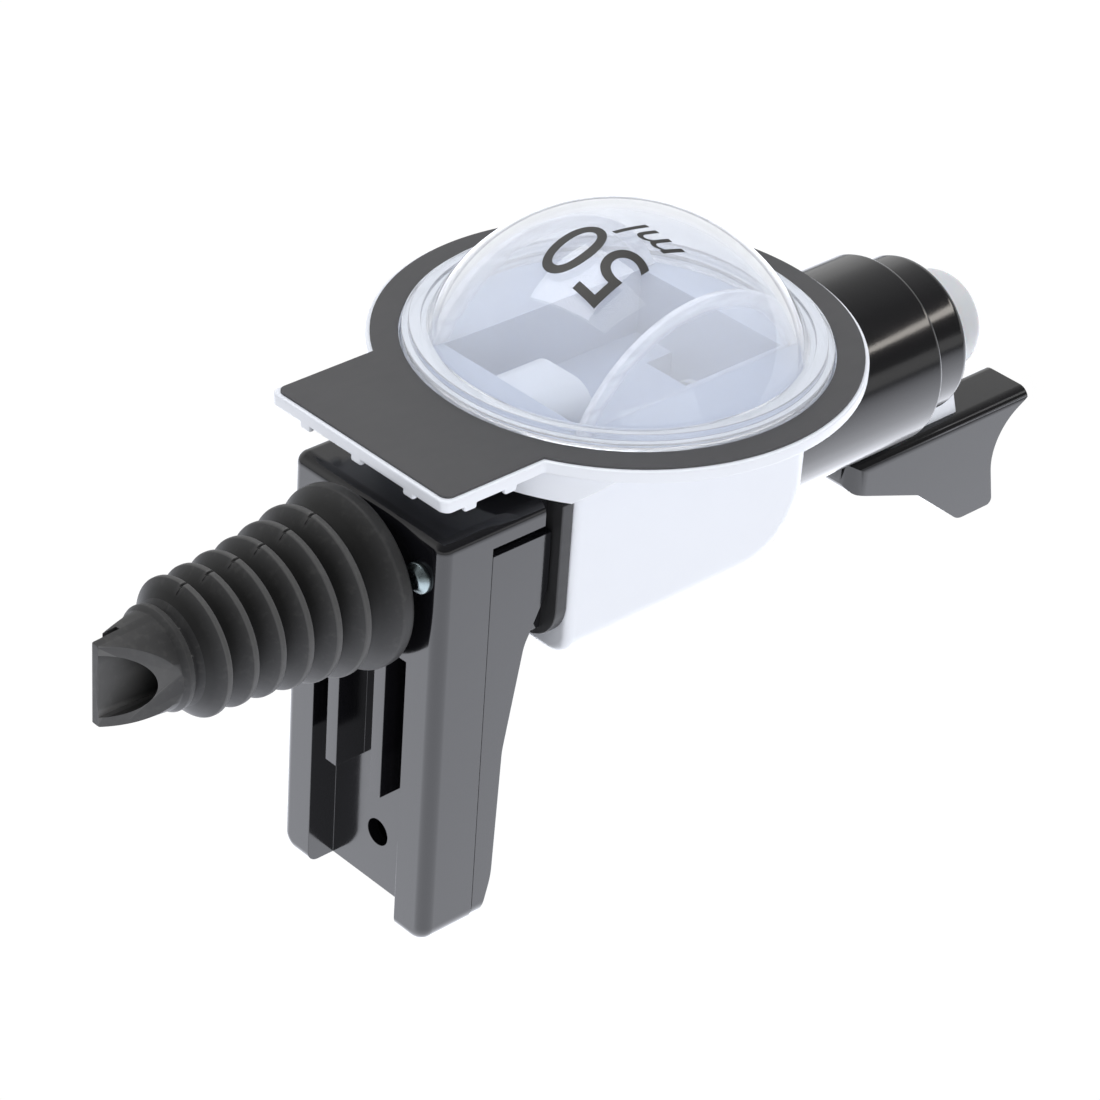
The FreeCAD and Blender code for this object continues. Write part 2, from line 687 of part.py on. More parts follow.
def makeSpindle():
    body = newBody("valve_spindle")
    pistonFoot = "(pistonTop - pistonLength)"
    grooveTop = "(pistonTop - (pistonLength - pistonSeal) / 2)"
    grooveFoot = f"({grooveTop} - pistonSeal)"
    spin(body, "Rod", [
        ("0", spiderEnd), ("spindleRadius", spiderEnd), ("spindleRadius", outletSealTop),
        ("pistonRadius", outletSealTop), ("pistonRadius", f"{outletSealTop} + seatThick"),
        ("spindleRadius", f"{outletSealTop} + seatThick"), ("spindleRadius", pistonFoot),
        ("pistonRadius", pistonFoot), ("pistonRadius", grooveFoot),
        ("pistonRadius - sealDepth", grooveFoot), ("pistonRadius - sealDepth", grooveTop),
        ("pistonRadius", grooveTop), ("pistonRadius", "pistonTop"), ("0", "pistonTop")])
    rib = padUp(body, "SpiderRib", spiderEnd, spiderTop,
                lambda s: box(s, "0", "sqrt(nozzleBore^2 - spiderRib^2 / 4)",
                              "-spiderRib / 2", "spiderRib / 2"))
    pattern = body.newObject("PartDesign::PolarPattern", "Spider")
    axis = next(f for f in body.Origin.OriginFeatures if f.Role == "Z_Axis")
    pattern.Originals = [rib]
    pattern.Axis = (axis, [""])
    pattern.Angle = 360
    pattern.Occurrences = 3
    body.Tip = pattern
    seal = newBody("inlet_seal")
    spin(seal, "Ring", [
        ("pistonRadius - sealDepth", grooveFoot), ("inletBore - runningGap", grooveFoot),
        ("inletBore - runningGap", grooveTop), ("pistonRadius - sealDepth", grooveTop)])
    washer = newBody("outlet_seal")
    spin(washer, "Washer", [
        ("spindleRadius", outletSealBottom), (washerRadius, outletSealBottom),
        (washerRadius, outletSealTop), ("spindleRadius", outletSealTop)])


# ---- barrel, end collar, nozzle and return spring

def makeBarrel():
    body = newBody("lower_barrel")
    spin(body, "Tube", [
        ("0", "-barrelEnd"), ("barrelRadius", "-barrelEnd", "barrelEdge"),
        ("barrelRadius", "0"), ("0", "0")])
    cutAcross(body, "BodySeat", "-2 * barrelRadius", "2 * barrelRadius", lambda s: outline(s, [
        ("-2 * barrelRadius", "-bodyBottom"), ("bodyBack", "-bodyBottom", "bodyHeel"),
        ("bodyBack", "bodyTop"), ("-2 * barrelRadius", "bodyTop")]))
    cutUp(body, "SpringRoom", "-barrelEnd", barrelRoof, lambda s: circle(s, "barrelBore"))
    cutUp(body, "NeckHole", barrelRoof, "0", lambda s: circle(s, "seatNeck + boreGap"))
    cutUp(body, "SealGroove", f"{sealLevel} - {sealHalf}", f"{sealLevel} + {sealHalf}",
          lambda s: circle(s, f"{sealRadius} + {sealHalf}"))


def makeBarrelSeal():
    ring = doc.addObject("Part::Torus", "barrel_seal")
    ring.Label = "barrel_seal"
    ring.setExpression("Radius1", linked(sealRadius))
    ring.setExpression("Radius2", linked("barrelSealWire"))
    ring.setExpression("Placement.Base.y", linked("-holeReach"))
    ring.setExpression("Placement.Base.z", linked(f"{sealLevel} - webFace"))
    return ring


def makeCollar():
    body = newBody("end_collar")
    spin(body, "Collar", [
        ("nozzleRadius + runningGap", "-collarEnd"), ("collarRadius", "-collarEnd", "collarShoulder"),
        ("collarRadius", "-barrelEnd"), ("barrelBore - runningGap", "-barrelEnd"),
        ("barrelBore - runningGap", "collarSpigot - barrelEnd"),
        ("nozzleRadius + runningGap", "collarSpigot - barrelEnd")])
    slotTop = "pushTravel - keyTop + 2 * softGap"
    cutUp(body, "KeySlot", "-collarEnd", slotTop,
          lambda s: box(s, "-keyHalf - softGap", "keyHalf + softGap", "0", "2 * collarRadius"))


def makeNozzle():
    body = newBody("nozzle")
    flangeFoot = "(collarSpigot + softGap - barrelEnd)"
    spin(body, "Tube", [
        ("nozzleBore", "-nozzleEnd"), ("nozzleRadius", "-nozzleEnd", "nozzleRound"),
        ("nozzleRadius", flangeFoot), ("nozzleFlange", flangeFoot), ("nozzleFlange", springFoot),
        ("nozzleTube", springFoot), ("nozzleTube", nozzleTop), ("nozzleBore", nozzleTop)])
    cutUp(body, "KeyFlat", "-keyNeck", "-keyTop",
          lambda s: box(s, "-keyHalf - keyGap", "keyHalf + keyGap", "keyFlat", "2 * nozzleRadius"))


def makeSpring():
    # wire swept along a helix between the barrel's roof and the nozzle's flange
    bottom = f"({springFoot} + springWire + runningGap)"
    top = f"({barrelRoof} - springWire - runningGap)"
    helix = doc.addObject("Part::Helix", "SpringPath")
    helix.setExpression("Radius", linked("springRadius"))
    helix.setExpression("Height", linked(f"{top} - {bottom}"))
    helix.setExpression("Pitch", linked(f"({top} - {bottom}) / springTurns"))
    wire = doc.addObject("Part::Circle", "SpringWire")
    wire.setExpression("Radius", linked("springWire"))
    wire.Placement = FreeCAD.Placement(FreeCAD.Vector(), FreeCAD.Rotation(FreeCAD.Vector(1, 0, 0), 90))
    wire.setExpression("Placement.Base.x", linked("springRadius"))
    sweep = doc.addObject("Part::Sweep", "return_spring")
    sweep.Label = "return_spring"
    sweep.Sections = [wire]
    sweep.Spine = (helix, ["Edge1"])
    sweep.Solid = True
    sweep.Frenet = True
    sweep.setExpression("Placement.Base.y", linked("-holeReach"))
    sweep.setExpression("Placement.Base.z", linked(f"{bottom} - webFace"))
    return sweep


# ---- key and push lever

def makeKey():
    body = newBody("lever_key")
    leverRoot = "(leverTop + keyRoot)"
    side = [("keyFlat", "-keyNeck"), ("leverTop", "-keyFoot"), (leverRoot, "-keyFoot"),
            (leverRoot, "-keyTop"), ("keyFlat", "-keyTop")]
    padAcross(body, "Key", "-keyHalf", "keyHalf", lambda s: outline(s, side))


def makeLever():
    body = newBody("push_lever")
    foot = "(leverTop + footDepth)"
    side = [
        ("leverTop", "-leverStart"), ("leverTop", "-leverEnd"),
        ("leverTop + leverTip", "-leverEnd"),
        ("leverTop + restReach", "-restDeep", "restRadius"),
        (foot, "-footEnd", "leverEdge / 2"), (foot, "-footStart", "footRound"),
        ("leverTop + barDepth", "-barEnd", "footRound"),
        ("leverTop + leverNose", "-leverStart")]
    padAcross(body, "Lever", "-leverHalf", "leverHalf", lambda s: outline(s, side))
    roundEdges(body, "TopEdges", "leverEdge",
               lambda e: runsAlong(e, "z") and liesAt(e, "y", "leverTop"))
    cutBack(body, "KeySocket", "leverTop", "leverTop + keyRoot + keyGap",
            lambda s: box(s, "-keyHalf - keyGap", "keyHalf + keyGap", "-keyFoot - keyGap",
                          "keyGap - keyTop"))


# ---- bracket: housing, cover, flange gasket, spigot, vent tube and screws

def makeHousing():
    body = newBody("bracket_housing")
    side = [("-bracketFront", "bracketSplit + splitGap / 2"),
            ("bracketWall", "bracketSplit + splitGap / 2"), ("bracketWall", "bracketTop"),
            ("-bracketFront", "bracketTop")]
    padAcross(body, "Slab", "-bracketHalf", "bracketHalf", lambda s: outline(s, side))
    lip = [("-bracketFront", "frontLipFoot"), ("frontLip - bracketFront", "frontLipFoot"),
           ("frontLip - bracketFront", "bracketTop"), ("-bracketFront", "bracketTop")]
    padAcross(body, "FrontLip", "-bracketHalf", "bracketHalf", lambda s: outline(s, lip))
    core = [("-bracketFront", "bracketFoot"), ("blockBack", "bracketFoot"),
            ("blockBack", "bracketTop"), ("-bracketFront", "bracketTop")]
    padAcross(body, "Core", "-coreHalf", "coreHalf", lambda s: outline(s, core))
    beyond = "bracketWall + bracketEndCorner"
    cutUp(body, "Channel", "webFace", "bracketTop",
          lambda s: box(s, "-channelHalf", "channelHalf", "blockBack", beyond))
    rib = padUp(body, "Rib", "webFace", "webFace + ribHigh",
                lambda s: box(s, "ribOffset - ribWidth / 2", "ribOffset + ribWidth / 2",
                              "blockBack", "ribEnd"))
    mirrorAcross(body, "RibFar", rib)
    cutUp(body, "WebUnderside", "bracketSplit", "webFace - webThick",
          lambda s: box(s, "coverSkin - bracketHalf", "bracketHalf - coverSkin", "blockBack",
                        "bracketWall - coverSkin"))
    cutUp(body, "LockHole", "webFace - webThick", "webFace",
          lambda s: circle(s, "lockHole", "0", "holeReach"))
    cutUp(body, "SpigotHole", "bracketFoot", "bracketTop",
          lambda s: circle(s, "spigotRadius + spigotGap"))
    cutUp(body, "SpigotSeat", "bracketFoot", "bracketFoot + spigotFlangeThick",
          lambda s: circle(s, "spigotFlange + spigotGap"))
    hole = cutUp(body, "ScrewHole", "bracketFoot", "bracketTop",
                 lambda s: circle(s, "screwShank + screwGap", "screwSide", "-screwFront"))
    mirrorAcross(body, "ScrewHoleFar", hole)
    roundEdges(body, "EndCorners", "bracketEndCorner",
               lambda e: runsAlong(e, "z") and liesAt(e, "y", "bracketWall")
               and (liesAt(e, "x", "bracketHalf") or liesAt(e, "x", "-bracketHalf")))
    roundEdges(body, "TopEdges", "bracketEdge",
               lambda e: liesAt(e, "z", "bracketTop") and (
                   runsAlong(e, "y") and (liesAt(e, "x", "bracketHalf")
                                          or liesAt(e, "x", "-bracketHalf"))
                   or runsAlong(e, "x") and liesAt(e, "y", "-bracketFront"))
               or runsAlong(e, "z") and liesAt(e, "y", "-bracketFront")
               and (liesAt(e, "x", "bracketHalf") or liesAt(e, "x", "-bracketHalf")))


def makeCover():
    body = newBody("bracket_cover")
    foot = "(bracketFoot + splitGap)"
    top = "(bracketSplit - splitGap / 2)"
    run = "(bracketWall - blockBack)"
    climb = f"({top} - {foot})"
    wallFoot = f"({foot} + 0.85 * {climb})"
    armFoot = f"({foot} + 0.62 * {climb})"
    kneeFoot = f"({foot} + 0.35 * {climb})"
    side = [(coverFront, foot), ("blockBack - 0.15 * " + run, foot),
            (f"blockBack + 0.02 * {run}", kneeFoot, "bodyHeel / 2"),
            (f"blockBack + 0.38 * {run}", armFoot, "bodyHeel"),
            (f"blockBack + 0.85 * {run}", f"{armFoot} + 0.06 * {climb}", "bodyHeel"),
            ("bracketWall", wallFoot), ("bracketWall", top), (coverFront, top)]
    half = "(bracketHalf - coverInset)"
    padAcross(body, "Cover", f"-{half}", half, lambda s: outline(s, side))
    inner = f"({half} - coverSkin)"
    cutUp(body, "BlockRoom", f"{foot} - splitGap", top,
          lambda s: box(s, "-coreHalf - splitGap", "coreHalf + splitGap", f"{coverFront} - coverGap",
                        "blockBack + splitGap"))
    room = [("blockBack", f"{kneeFoot} + coverSkin"),
            (f"blockBack + 0.38 * {run}", f"{armFoot} + coverSkin"),
            ("bracketWall - coverSkin", f"{armFoot} + 0.08 * {climb} + coverSkin"),
            ("bracketWall - coverSkin", f"{top} + coverGap"), ("blockBack", f"{top} + coverGap")]
    cutAcross(body, "Room", f"-{inner}", inner, lambda s: outline(s, room))
    roundEdges(body, "EndCorners", "bracketEndCorner",
               lambda e: runsAlong(e, "z") and liesAt(e, "y", "bracketWall")
               and (liesAt(e, "x", half) or liesAt(e, "x", f"-{half}")))


def makeFlangeGasket():
    body = newBody("flange_gasket")
    padUp(body, "Sheet", "bodyTop", "bracketFoot", lambda s: outline(s, [
        ("-flangeHalf", "-flangeFront"), ("flangeHalf", "-flangeFront"),
        ("flangeHalf", "flangeBack", "flangeCorner"), ("-flangeHalf", "flangeBack", "flangeCorner")]))
    cutUp(body, "FlowHole", "bodyTop", "bracketFoot", lambda s: circle(s, "inletBore"))
    hole = cutUp(body, "ScrewHole", "bodyTop", "bracketFoot",
                 lambda s: circle(s, "screwShank + screwGap", "screwSide", "-screwFront"))
    mirrorAcross(body, "ScrewHoleFar", hole)


def makeSpigot():
    body = newBody("inlet_spigot")
    flangeTop = "(bracketFoot + spigotFlangeThick)"
    corners = [("spigotBore", "bracketFoot"), ("spigotFlange", "bracketFoot"),
               ("spigotFlange", flangeTop), ("spigotRadius", flangeTop)]
    for turn in range(3):
        foot = f"(bracketTop + corkStand + (spigotEnd - bracketTop - corkStand) * {turn} / 3 + 2)"
        corners += [("spigotRadius", foot), ("spigotRadius + spigotBarb", foot),
                    ("spigotRadius", f"{foot} + 4 * spigotBarb")]
    corners += [("spigotRadius", "spigotEnd"), ("spigotBore", "spigotEnd")]
    spin(body, "Tube", corners)


def makeVent():
    body = newBody("air_tube")
    padUp(body, "Tube", "ventStart", "ventEnd", lambda s: circle(s, "ventRadius", "ventOffset"))
    cutUp(body, "Bore", "ventStart", "ventEnd", lambda s: circle(s, "ventBore", "ventOffset"))


def makeScrews():
    body = newBody("bracket_screws")
    body.AllowCompound = True
    headTop = "(bracketTop + screwHeadHigh)"
    shank = padUp(body, "Shank", "screwTip", "bracketTop",
                  lambda s: circle(s, "screwShank", "screwSide", "-screwFront"))
    head = padUp(body, "Head", "bracketTop", headTop,
                 lambda s: circle(s, "screwHead", "screwSide", "-screwFront"))
    reach, half = "(0.55 * screwHead)", "(0.13 * screwHead)"
    slots = []
    for index, (across, along) in enumerate(((reach, half), (half, reach))):
        slots.append(cutUp(body, f"Cross{index}", f"{headTop} - 0.7 * screwHeadHigh", headTop,
                           lambda s: box(s, f"screwSide - {across}", f"screwSide + {across}",
                                         f"-screwFront - {along}", f"{along} - screwFront")))
    mirrorAcross(body, "FarScrew", shank, head, *slots)


# ---- cork: barbed rubber fins on a hollow core, and a nose with two ports

def finLevel(turn):
    return f"(finStart + finPitch * {turn})"


def finRim(turn):
    if turn == finCount - 1:
        return "tipFin"
    return f"(finRadius - finTaper * {turn} + finSwell * {turn * turn})"


def makeCork():
    body = newBody("bottle_cork")
    bore = "(spigotRadius + spigotBarb + runningGap)"
    base = "(bracketTop + corkStand)"
    collarTop = f"({base} + corkCollarHigh)"
    corners = [(bore, "bracketTop"), ("corkNeck", "bracketTop"), ("corkNeck", base),
               ("corkCollar", base, "corkCollarEdge"),
               ("corkCollar", collarTop, "corkCollarEdge")]
    for turn in range(finCount):
        level, rim = finLevel(turn), finRim(turn)
        root = "(corkNoseRoot - finLip)" if rim == "tipFin" else f"({rim} - finDepth)"
        corners += [(root, f"{level} - finLip"), (rim, f"{level} - finLip / 2"),
                    (rim, f"{level} + finLip / 2")]
    corners += [("corkNoseRoot", f"{level} + 1.5 * finLip"), ("corkNoseRadius", "corkNose"),
                ("0", "corkNose"), ("0", "corkBoreTop"), (bore, "corkBoreTop")]
    spin(body, "Cork", corners)
    # the nose narrows to a blade: a slanted liquor port on one side, a sloped back on the other
    wide = "(corkNoseRoot + finDepth)"
    above = "(corkNose + finLip)"
    port = [(f"-{wide}", "portStart"), ("-portLedge", "portStart"), ("-septum / 2", "corkNose"),
            ("-septum / 2", above), (f"-{wide}", above)]
    cutBack(body, "Scoop", f"-{wide}", wide, lambda s: outline(s, port))
    slope = [(wide, "portStart"), ("noseBack", "portStart"), ("septum / 2", "corkNose"),
             ("septum / 2", above), (wide, above)]
    cutBack(body, "NoseBack", f"-{wide}", wide, lambda s: outline(s, slope))
    cutUp(body, "LiquorPassage", "corkBoreTop", "corkNose",
          lambda s: outline(s, [("-septum / 2", "-passageHalf"), ("-septum / 2", "passageHalf"),
                                ("-passageDepth", "passageHalf", "passageHalf * 0.75"),
                                ("-passageDepth", "-passageHalf", "passageHalf * 0.75")]))
    cutUp(body, "AirSlot", "corkNose - slotLength", "corkNose",
          lambda s: box(s, "septum / 2", "septum / 2 + slotWidth", "-corkNoseRoot",
                        "slotDepth - corkNoseRadius"))
    cutUp(body, "TubeHole", "corkBoreTop", "corkNose",
          lambda s: circle(s, "ventRadius + runningGap", "ventOffset"))


makePlate()
makeLabel()
makeDome()
makeWindowGasket()
makeBody()
makeTray()
makeInletHousing()
makeOutletSeat()
makeSpindle()
makeBarrel()
makeBarrelSeal()
makeCollar()
makeNozzle()
makeSpring()
makeKey()
makeLever()
makeHousing()
makeCover()
makeFlangeGasket()
makeSpigot()
makeVent()
makeScrews()
makeCork()
doc.recompute()

for item in doc.Objects:
    if "Invalid" in item.State or "Error" in item.State:
        raise RuntimeError(item.Name + " failed: " + item.getStatusString())
pieces = [item for item in doc.Objects
          if item.TypeId == "PartDesign::Body" or item.Name in ("barrel_seal", "return_spring")]
for piece in pieces:
    if piece.Shape.isNull() or not piece.Shape.isValid():
        raise RuntimeError(piece.Label + " has no valid shape")
os.makedirs("parts", exist_ok=True)
for piece in pieces:
    piece.Shape.exportStep("parts/" + piece.Label + ".step")
print(len(pieces), "pieces written")
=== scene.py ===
import math

import bmesh
import bpy
from mathutils import Matrix, Vector


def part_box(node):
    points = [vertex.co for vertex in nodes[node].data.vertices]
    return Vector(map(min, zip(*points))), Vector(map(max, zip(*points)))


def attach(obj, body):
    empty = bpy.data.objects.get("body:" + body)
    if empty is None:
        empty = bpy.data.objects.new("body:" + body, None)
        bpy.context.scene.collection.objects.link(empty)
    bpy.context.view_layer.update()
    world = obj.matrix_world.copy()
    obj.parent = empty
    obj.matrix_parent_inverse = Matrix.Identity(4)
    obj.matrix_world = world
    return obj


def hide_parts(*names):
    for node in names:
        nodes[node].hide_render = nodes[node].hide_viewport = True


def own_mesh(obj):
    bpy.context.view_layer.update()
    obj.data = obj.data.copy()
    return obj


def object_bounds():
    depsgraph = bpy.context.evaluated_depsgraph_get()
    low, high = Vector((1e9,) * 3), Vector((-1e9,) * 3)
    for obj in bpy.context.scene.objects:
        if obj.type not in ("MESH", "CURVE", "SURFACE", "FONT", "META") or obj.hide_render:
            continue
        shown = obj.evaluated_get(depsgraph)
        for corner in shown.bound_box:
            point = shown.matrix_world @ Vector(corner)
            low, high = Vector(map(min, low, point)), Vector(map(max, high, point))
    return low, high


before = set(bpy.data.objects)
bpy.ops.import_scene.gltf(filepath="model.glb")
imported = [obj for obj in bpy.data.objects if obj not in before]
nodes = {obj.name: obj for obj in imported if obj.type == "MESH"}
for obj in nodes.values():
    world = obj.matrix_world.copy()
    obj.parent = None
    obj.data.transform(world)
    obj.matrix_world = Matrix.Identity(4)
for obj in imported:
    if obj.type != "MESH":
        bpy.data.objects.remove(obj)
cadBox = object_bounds()
scene = bpy.context.scene

mm = 0.001
weldGap, thinEdge = 1e-6, 1e-7   # metres: points nearer than the first merge, shorter edges go
valveAxis = Vector((0, -53.2, -46.3)) * mm   # centre of the window, on the axis of the valve
fixedBody, movingBody = "housing", "plunger"


# bottle cork: thin barbs on a taper, and a nose cut to a wedge
cork = {"foot": 51.7, "neck": 9.8, "footRound": 0.3, "base": 54.0,
        "collar": 15.1, "collarHigh": 2.3, "collarRound": 1.0,
        "finStart": 62.2, "pitch": 4.87, "fins": 7, "rim": 14.0, "taper": 1.04, "swell": 0.097,
        "depth": 3.1, "tipRim": 8.5, "lip": 0.9, "rootRound": 0.9, "rimRound": 0.4,
        "noseRoot": 7.9, "noseTip": 7.2, "top": 103.0, "rootEdge": 0.5, "tipEdge": 0.25,
        "bore": 7.05, "boreTop": 84.5, "portStart": 92.8, "ledge": 7.8, "septum": 1.4, "back": 4.3,
        "passageDepth": 5.7, "passageHalf": 5.5, "passageSteps": 36,
        "slot": (0.9, 1.4, 5.0),        # air slot: wide, deep, long
        "tube": (3.2, 1.55, 32),        # air tube's hole: across, radius, sides
        "nick": (0.3, 0.5),             # in each fin's rim: half width, depth
        "parting": (0.07, 2.4),         # mould line between the fins: half width, depth
        "nickSpan": (1.2, 1.6),         # below and above the fin
        "noseEdge": 0.22, "sharper": 40, "around": 144}


# window dome: stepped rim, spherical cap and the two cheeks inside it
dome = {"base": 30.2, "rise": 19.0, "wall": 1.8, "front": -23.3, "stand": 2.0, "step": 1.0,
        "stepWide": 1.1, "groove": 0.5, "grooveWide": 1.1, "rim": 34.4, "foot": -22.0,
        "cornerRounds": (0.2, 0.3, 0.15, 0.35, 0.3, 0.15),   # from the foot round to the groove
        "cheekAt": 16.0, "cheekWall": 1.2, "cheekGap": 0.05, "cheekEdge": 0.3, "cheekSides": 160,
        "arcs": 40, "around": 192}
dome["radius"] = (dome["base"] ** 2 + dome["rise"] ** 2) / (2 * dome["rise"])
dome["centre"] = dome["front"] - dome["stand"] - dome["rise"] + dome["radius"]


# sockets that can be added and multiplied like numbers
class Wire:
    def __init__(self, finish, socket):
        self.finish, self.socket = finish, socket

    def maths(self, operation, first, second):
        return self.finish.add("ShaderNodeMath", {"operation": operation}, {0: first, 1: second})

    def __add__(self, other):
        return self.maths("ADD", self, other)

    def __sub__(self, other):
        return self.maths("SUBTRACT", self, other)

    def __rsub__(self, other):
        return self.maths("SUBTRACT", other, self)

    def __mul__(self, other):
        return self.maths("MULTIPLY", self, other)

    def __lt__(self, other):
        return self.maths("LESS_THAN", self, other)

    __radd__, __rmul__ = __add__, __mul__


class Wiring:
    def __init__(self, owner, ending):
        owner.use_nodes = True
        self.tree = owner.node_tree
        self.tree.nodes.clear()
        self.output = self.tree.nodes.new(ending)

    def add(self, kind, settings, inputs, output=0):
        node = self.tree.nodes.new(kind)
        for name, value in settings.items():
            if name == "stops":
                ramp = node.color_ramp.elements
                for spot, (level, tint) in enumerate(value):
                    stop = ramp[spot] if spot < len(ramp) else ramp.new(level)
                    stop.position, stop.color = level, (tint, tint, tint, 1)
            else:
                setattr(node, name, value)
        for name, value in inputs.items():
            self.feed(node.inputs[name], value)
        return Wire(self, node.outputs[output])

    def feed(self, socket, value):
        if isinstance(value, Wire):
            self.tree.links.new(value.socket, socket)
        else:
            socket.default_value = value

    def show(self, shader):
        self.feed(self.output.inputs["Surface"], shader)

    def seenRays(self):
        # 1 for the eye, for reflections and for what is seen through clear plastic
        eye, gloss, clear = [self.add("ShaderNodeLightPath", {}, {}, kind) for kind in
                             ("Is Camera Ray", "Is Glossy Ray", "Is Transmission Ray")]
        return self.add("ShaderNodeMath", {"operation": "ADD", "use_clamp": True},
                        {0: eye + gloss, 1: clear})


class Finish(Wiring):
    def __init__(self, name, **settings):
        self.material = bpy.data.materials.new(name)
        super().__init__(self.material, "ShaderNodeOutputMaterial")
        self.shader = self.add("ShaderNodeBsdfPrincipled", {}, settings)
        self.show(self.shader)
        self.place = self.add("ShaderNodeTexCoord", {}, {}, "Object")

    def set(self, **inputs):
        for name, value in inputs.items():
            self.feed(self.shader.socket.node.inputs[name.replace("_", " ")], value)

    def noise(self, size, detail=3, stretch=(1, 1, 1)):
        # size is the width of one patch in millimetres
        spot = self.add("ShaderNodeMapping", {}, {"Vector": self.place, "Scale": stretch})
        return self.add("ShaderNodeTexNoise", {}, {"Vector": spot, "Scale": 1 / (size * mm),
                                                   "Detail": detail})

    def ramp(self, value, stops):
        return self.add("ShaderNodeValToRGB", {"stops": stops}, {"Fac": value})

    def blend(self, factor, first, second):
        return self.add("ShaderNodeMix", {"data_type": "RGBA"}, {0: factor, 6: first, 7: second}, 2)

    def relief(self, height, depth, strength=1.0):
        # depth is the height of the relief in millimetres
        bump = self.add("ShaderNodeBump", {}, {"Height": height, "Distance": depth * mm,
                                               "Strength": strength})
        self.set(Normal=bump)


def mottled(finish, look, cloud):
    # the colour, a little darker and a little lighter in soft patches
    darker, lighter = [tuple(min(1, channel * share) for channel in look["colour"]) + (1,)
                       for share in look["mottle"]]
    return finish.blend(cloud, darker, lighter)


def mouldedPlastic(name, look):
    finish = Finish(name)
    smear = finish.noise(look["patch"] / 3, 4, look["drawn"])
    finish.set(Base_Color=mottled(finish, look, finish.noise(look["patch"])),
               Roughness=smear * look["smear"] + (look["rough"] - look["smear"] / 2),
               Specular_IOR_Level=look["gloss"])
    finish.relief(finish.noise(look["grain"], 2), look["relief"])
    return finish.material


def grooveDepth(finish, lastFin):
    # 0 on the rims of the fins and 1 at the bottom of the grooves, and then 1 where the fins are; these
    # place the painted shade in the grooves and the painted highlight on the rims
    split = finish.add("ShaderNodeSeparateXYZ", {}, {"Vector": finish.place}).socket.node
    x, y, z = [Wire(finish, socket) * (1 / mm) for socket in split.outputs]
    off = y - valveAxis.y / mm
    turn = (z - (valveAxis.z / mm + cork["finStart"])) * (1 / cork["pitch"])
    rim = turn * turn * cork["swell"] - turn * cork["taper"] + cork["rim"]
    across = finish.add("ShaderNodeMath", {"operation": "SQRT"}, {0: x * x + off * off})
    depth = (rim - across) * (1 / cork["depth"])
    return depth, turn < cork["fins"] - lastFin


def rubberFinish(name, look):
    finish = Finish(name)
    edge = finish.add("ShaderNodeNewGeometry", {}, {}, "Pointiness")
    # the sharp edges turn paler: partly wear, partly a painted highlight along the rims
    edgeWearAndHighlight = finish.ramp(edge, look["wearAndHighlightWhere"])
    cloud = finish.noise(look["patch"], 5)
    dust = finish.ramp(finish.noise(look["dust"], 6), look["dustWhere"])
    base = mottled(finish, look, cloud)
    base = finish.blend(dust * look["dusty"], base, look["dustColour"])
    base = finish.blend(edgeWearAndHighlight * look["wearAndHighlight"], base, look["wearAndHighlightColour"])
    depth, finned = grooveDepth(finish, look["lastFin"])
    groove, rim = finish.ramp(depth, look["grooveShadeWhere"]), finish.ramp(depth, look["rimHighlightWhere"])
    # painted shade: the grooves between the fins darken towards their bottoms
    base = finish.blend(groove * finned * look["shade"], base, look["shadeColour"])
    # painted highlight: a thin pale line along the rim of each fin
    base = finish.blend(rim * finned * look["rimHighlight"], base, look["wearAndHighlightColour"])
    finish.set(Base_Color=base, Roughness=cloud * look["cloudRough"] + look["rough"],
               Specular_IOR_Level=look["gloss"])
    finish.relief(finish.noise(look["grain"], 3) + cloud * 0.5, look["relief"])
    return finish.material


def clearPlastic(name, look):
    finish = Finish(name, **{"Base Color": look["colour"], "IOR": look["ior"],
                             "Transmission Weight": look["clear"], "Roughness": look["rough"]})
    finish.relief(finish.noise(look["wave"], 1), look["relief"])
    see = finish.add("ShaderNodeBsdfTransparent", {}, {"Color": look["shadow"]})
    rays = finish.add("ShaderNodeLightPath", {}, {}, "Is Shadow Ray")
    finish.show(finish.add("ShaderNodeMixShader", {}, {0: rays, 1: finish.shader, 2: see}))
    return finish.material


def cheekFinish(name, look):
    # a clear sheet with a painted highlight: it turns pale and dense, in streaks, along its arc under the
    # cap, where it meets the dome
    finish = Finish(name)
    split = finish.add("ShaderNodeSeparateXYZ", {}, {"Vector": finish.place}).socket.node
    y = Wire(finish, split.outputs[1]) * (1 / mm) - (valveAxis.y / mm + dome["centre"])
    z = Wire(finish, split.outputs[2]) * (1 / mm) - valveAxis.z / mm
    inner = dome["radius"] - dome["wall"]
    arc = math.sqrt(inner ** 2 - (dome["cheekAt"] + dome["cheekWall"]) ** 2)
    away = finish.add("ShaderNodeMath", {"operation": "SQRT"}, {0: y * y + z * z})
    edge = finish.ramp((away - (arc - look["ridgeSheenBand"])) * (1 / look["ridgeSheenBand"]), look["ridgeSheenWhere"])
    sheenStreaks = finish.noise(look["streak"], 3, look["drawn"])
    cloud = finish.noise(look["patch"])
    # painted highlight: the pale, denser band along the arc and its streaks stand in for the bright ridge
    # where the cheek meets the dome
    finish.set(Base_Color=mottled(finish, look, cloud), Alpha=edge * sheenStreaks * look["milk"] + look["cover"],
               Roughness=cloud * look["cloudRough"] + look["rough"], Specular_IOR_Level=look["gloss"])
    finish.relief(finish.noise(look["grain"], 2), look["relief"])
    return finish.material


def milkyPlastic(name, look):
    finish = Finish(name)
    cloud = finish.noise(look["patch"])
    finish.set(Base_Color=mottled(finish, look, cloud),
               Roughness=cloud * look["cloudRough"] + look["rough"], Subsurface_Weight=look["milk"],
               Subsurface_Scale=look["soak"] * mm, Specular_IOR_Level=look["gloss"])
    finish.relief(finish.noise(look["grain"], 2), look["relief"])
    return finish.material


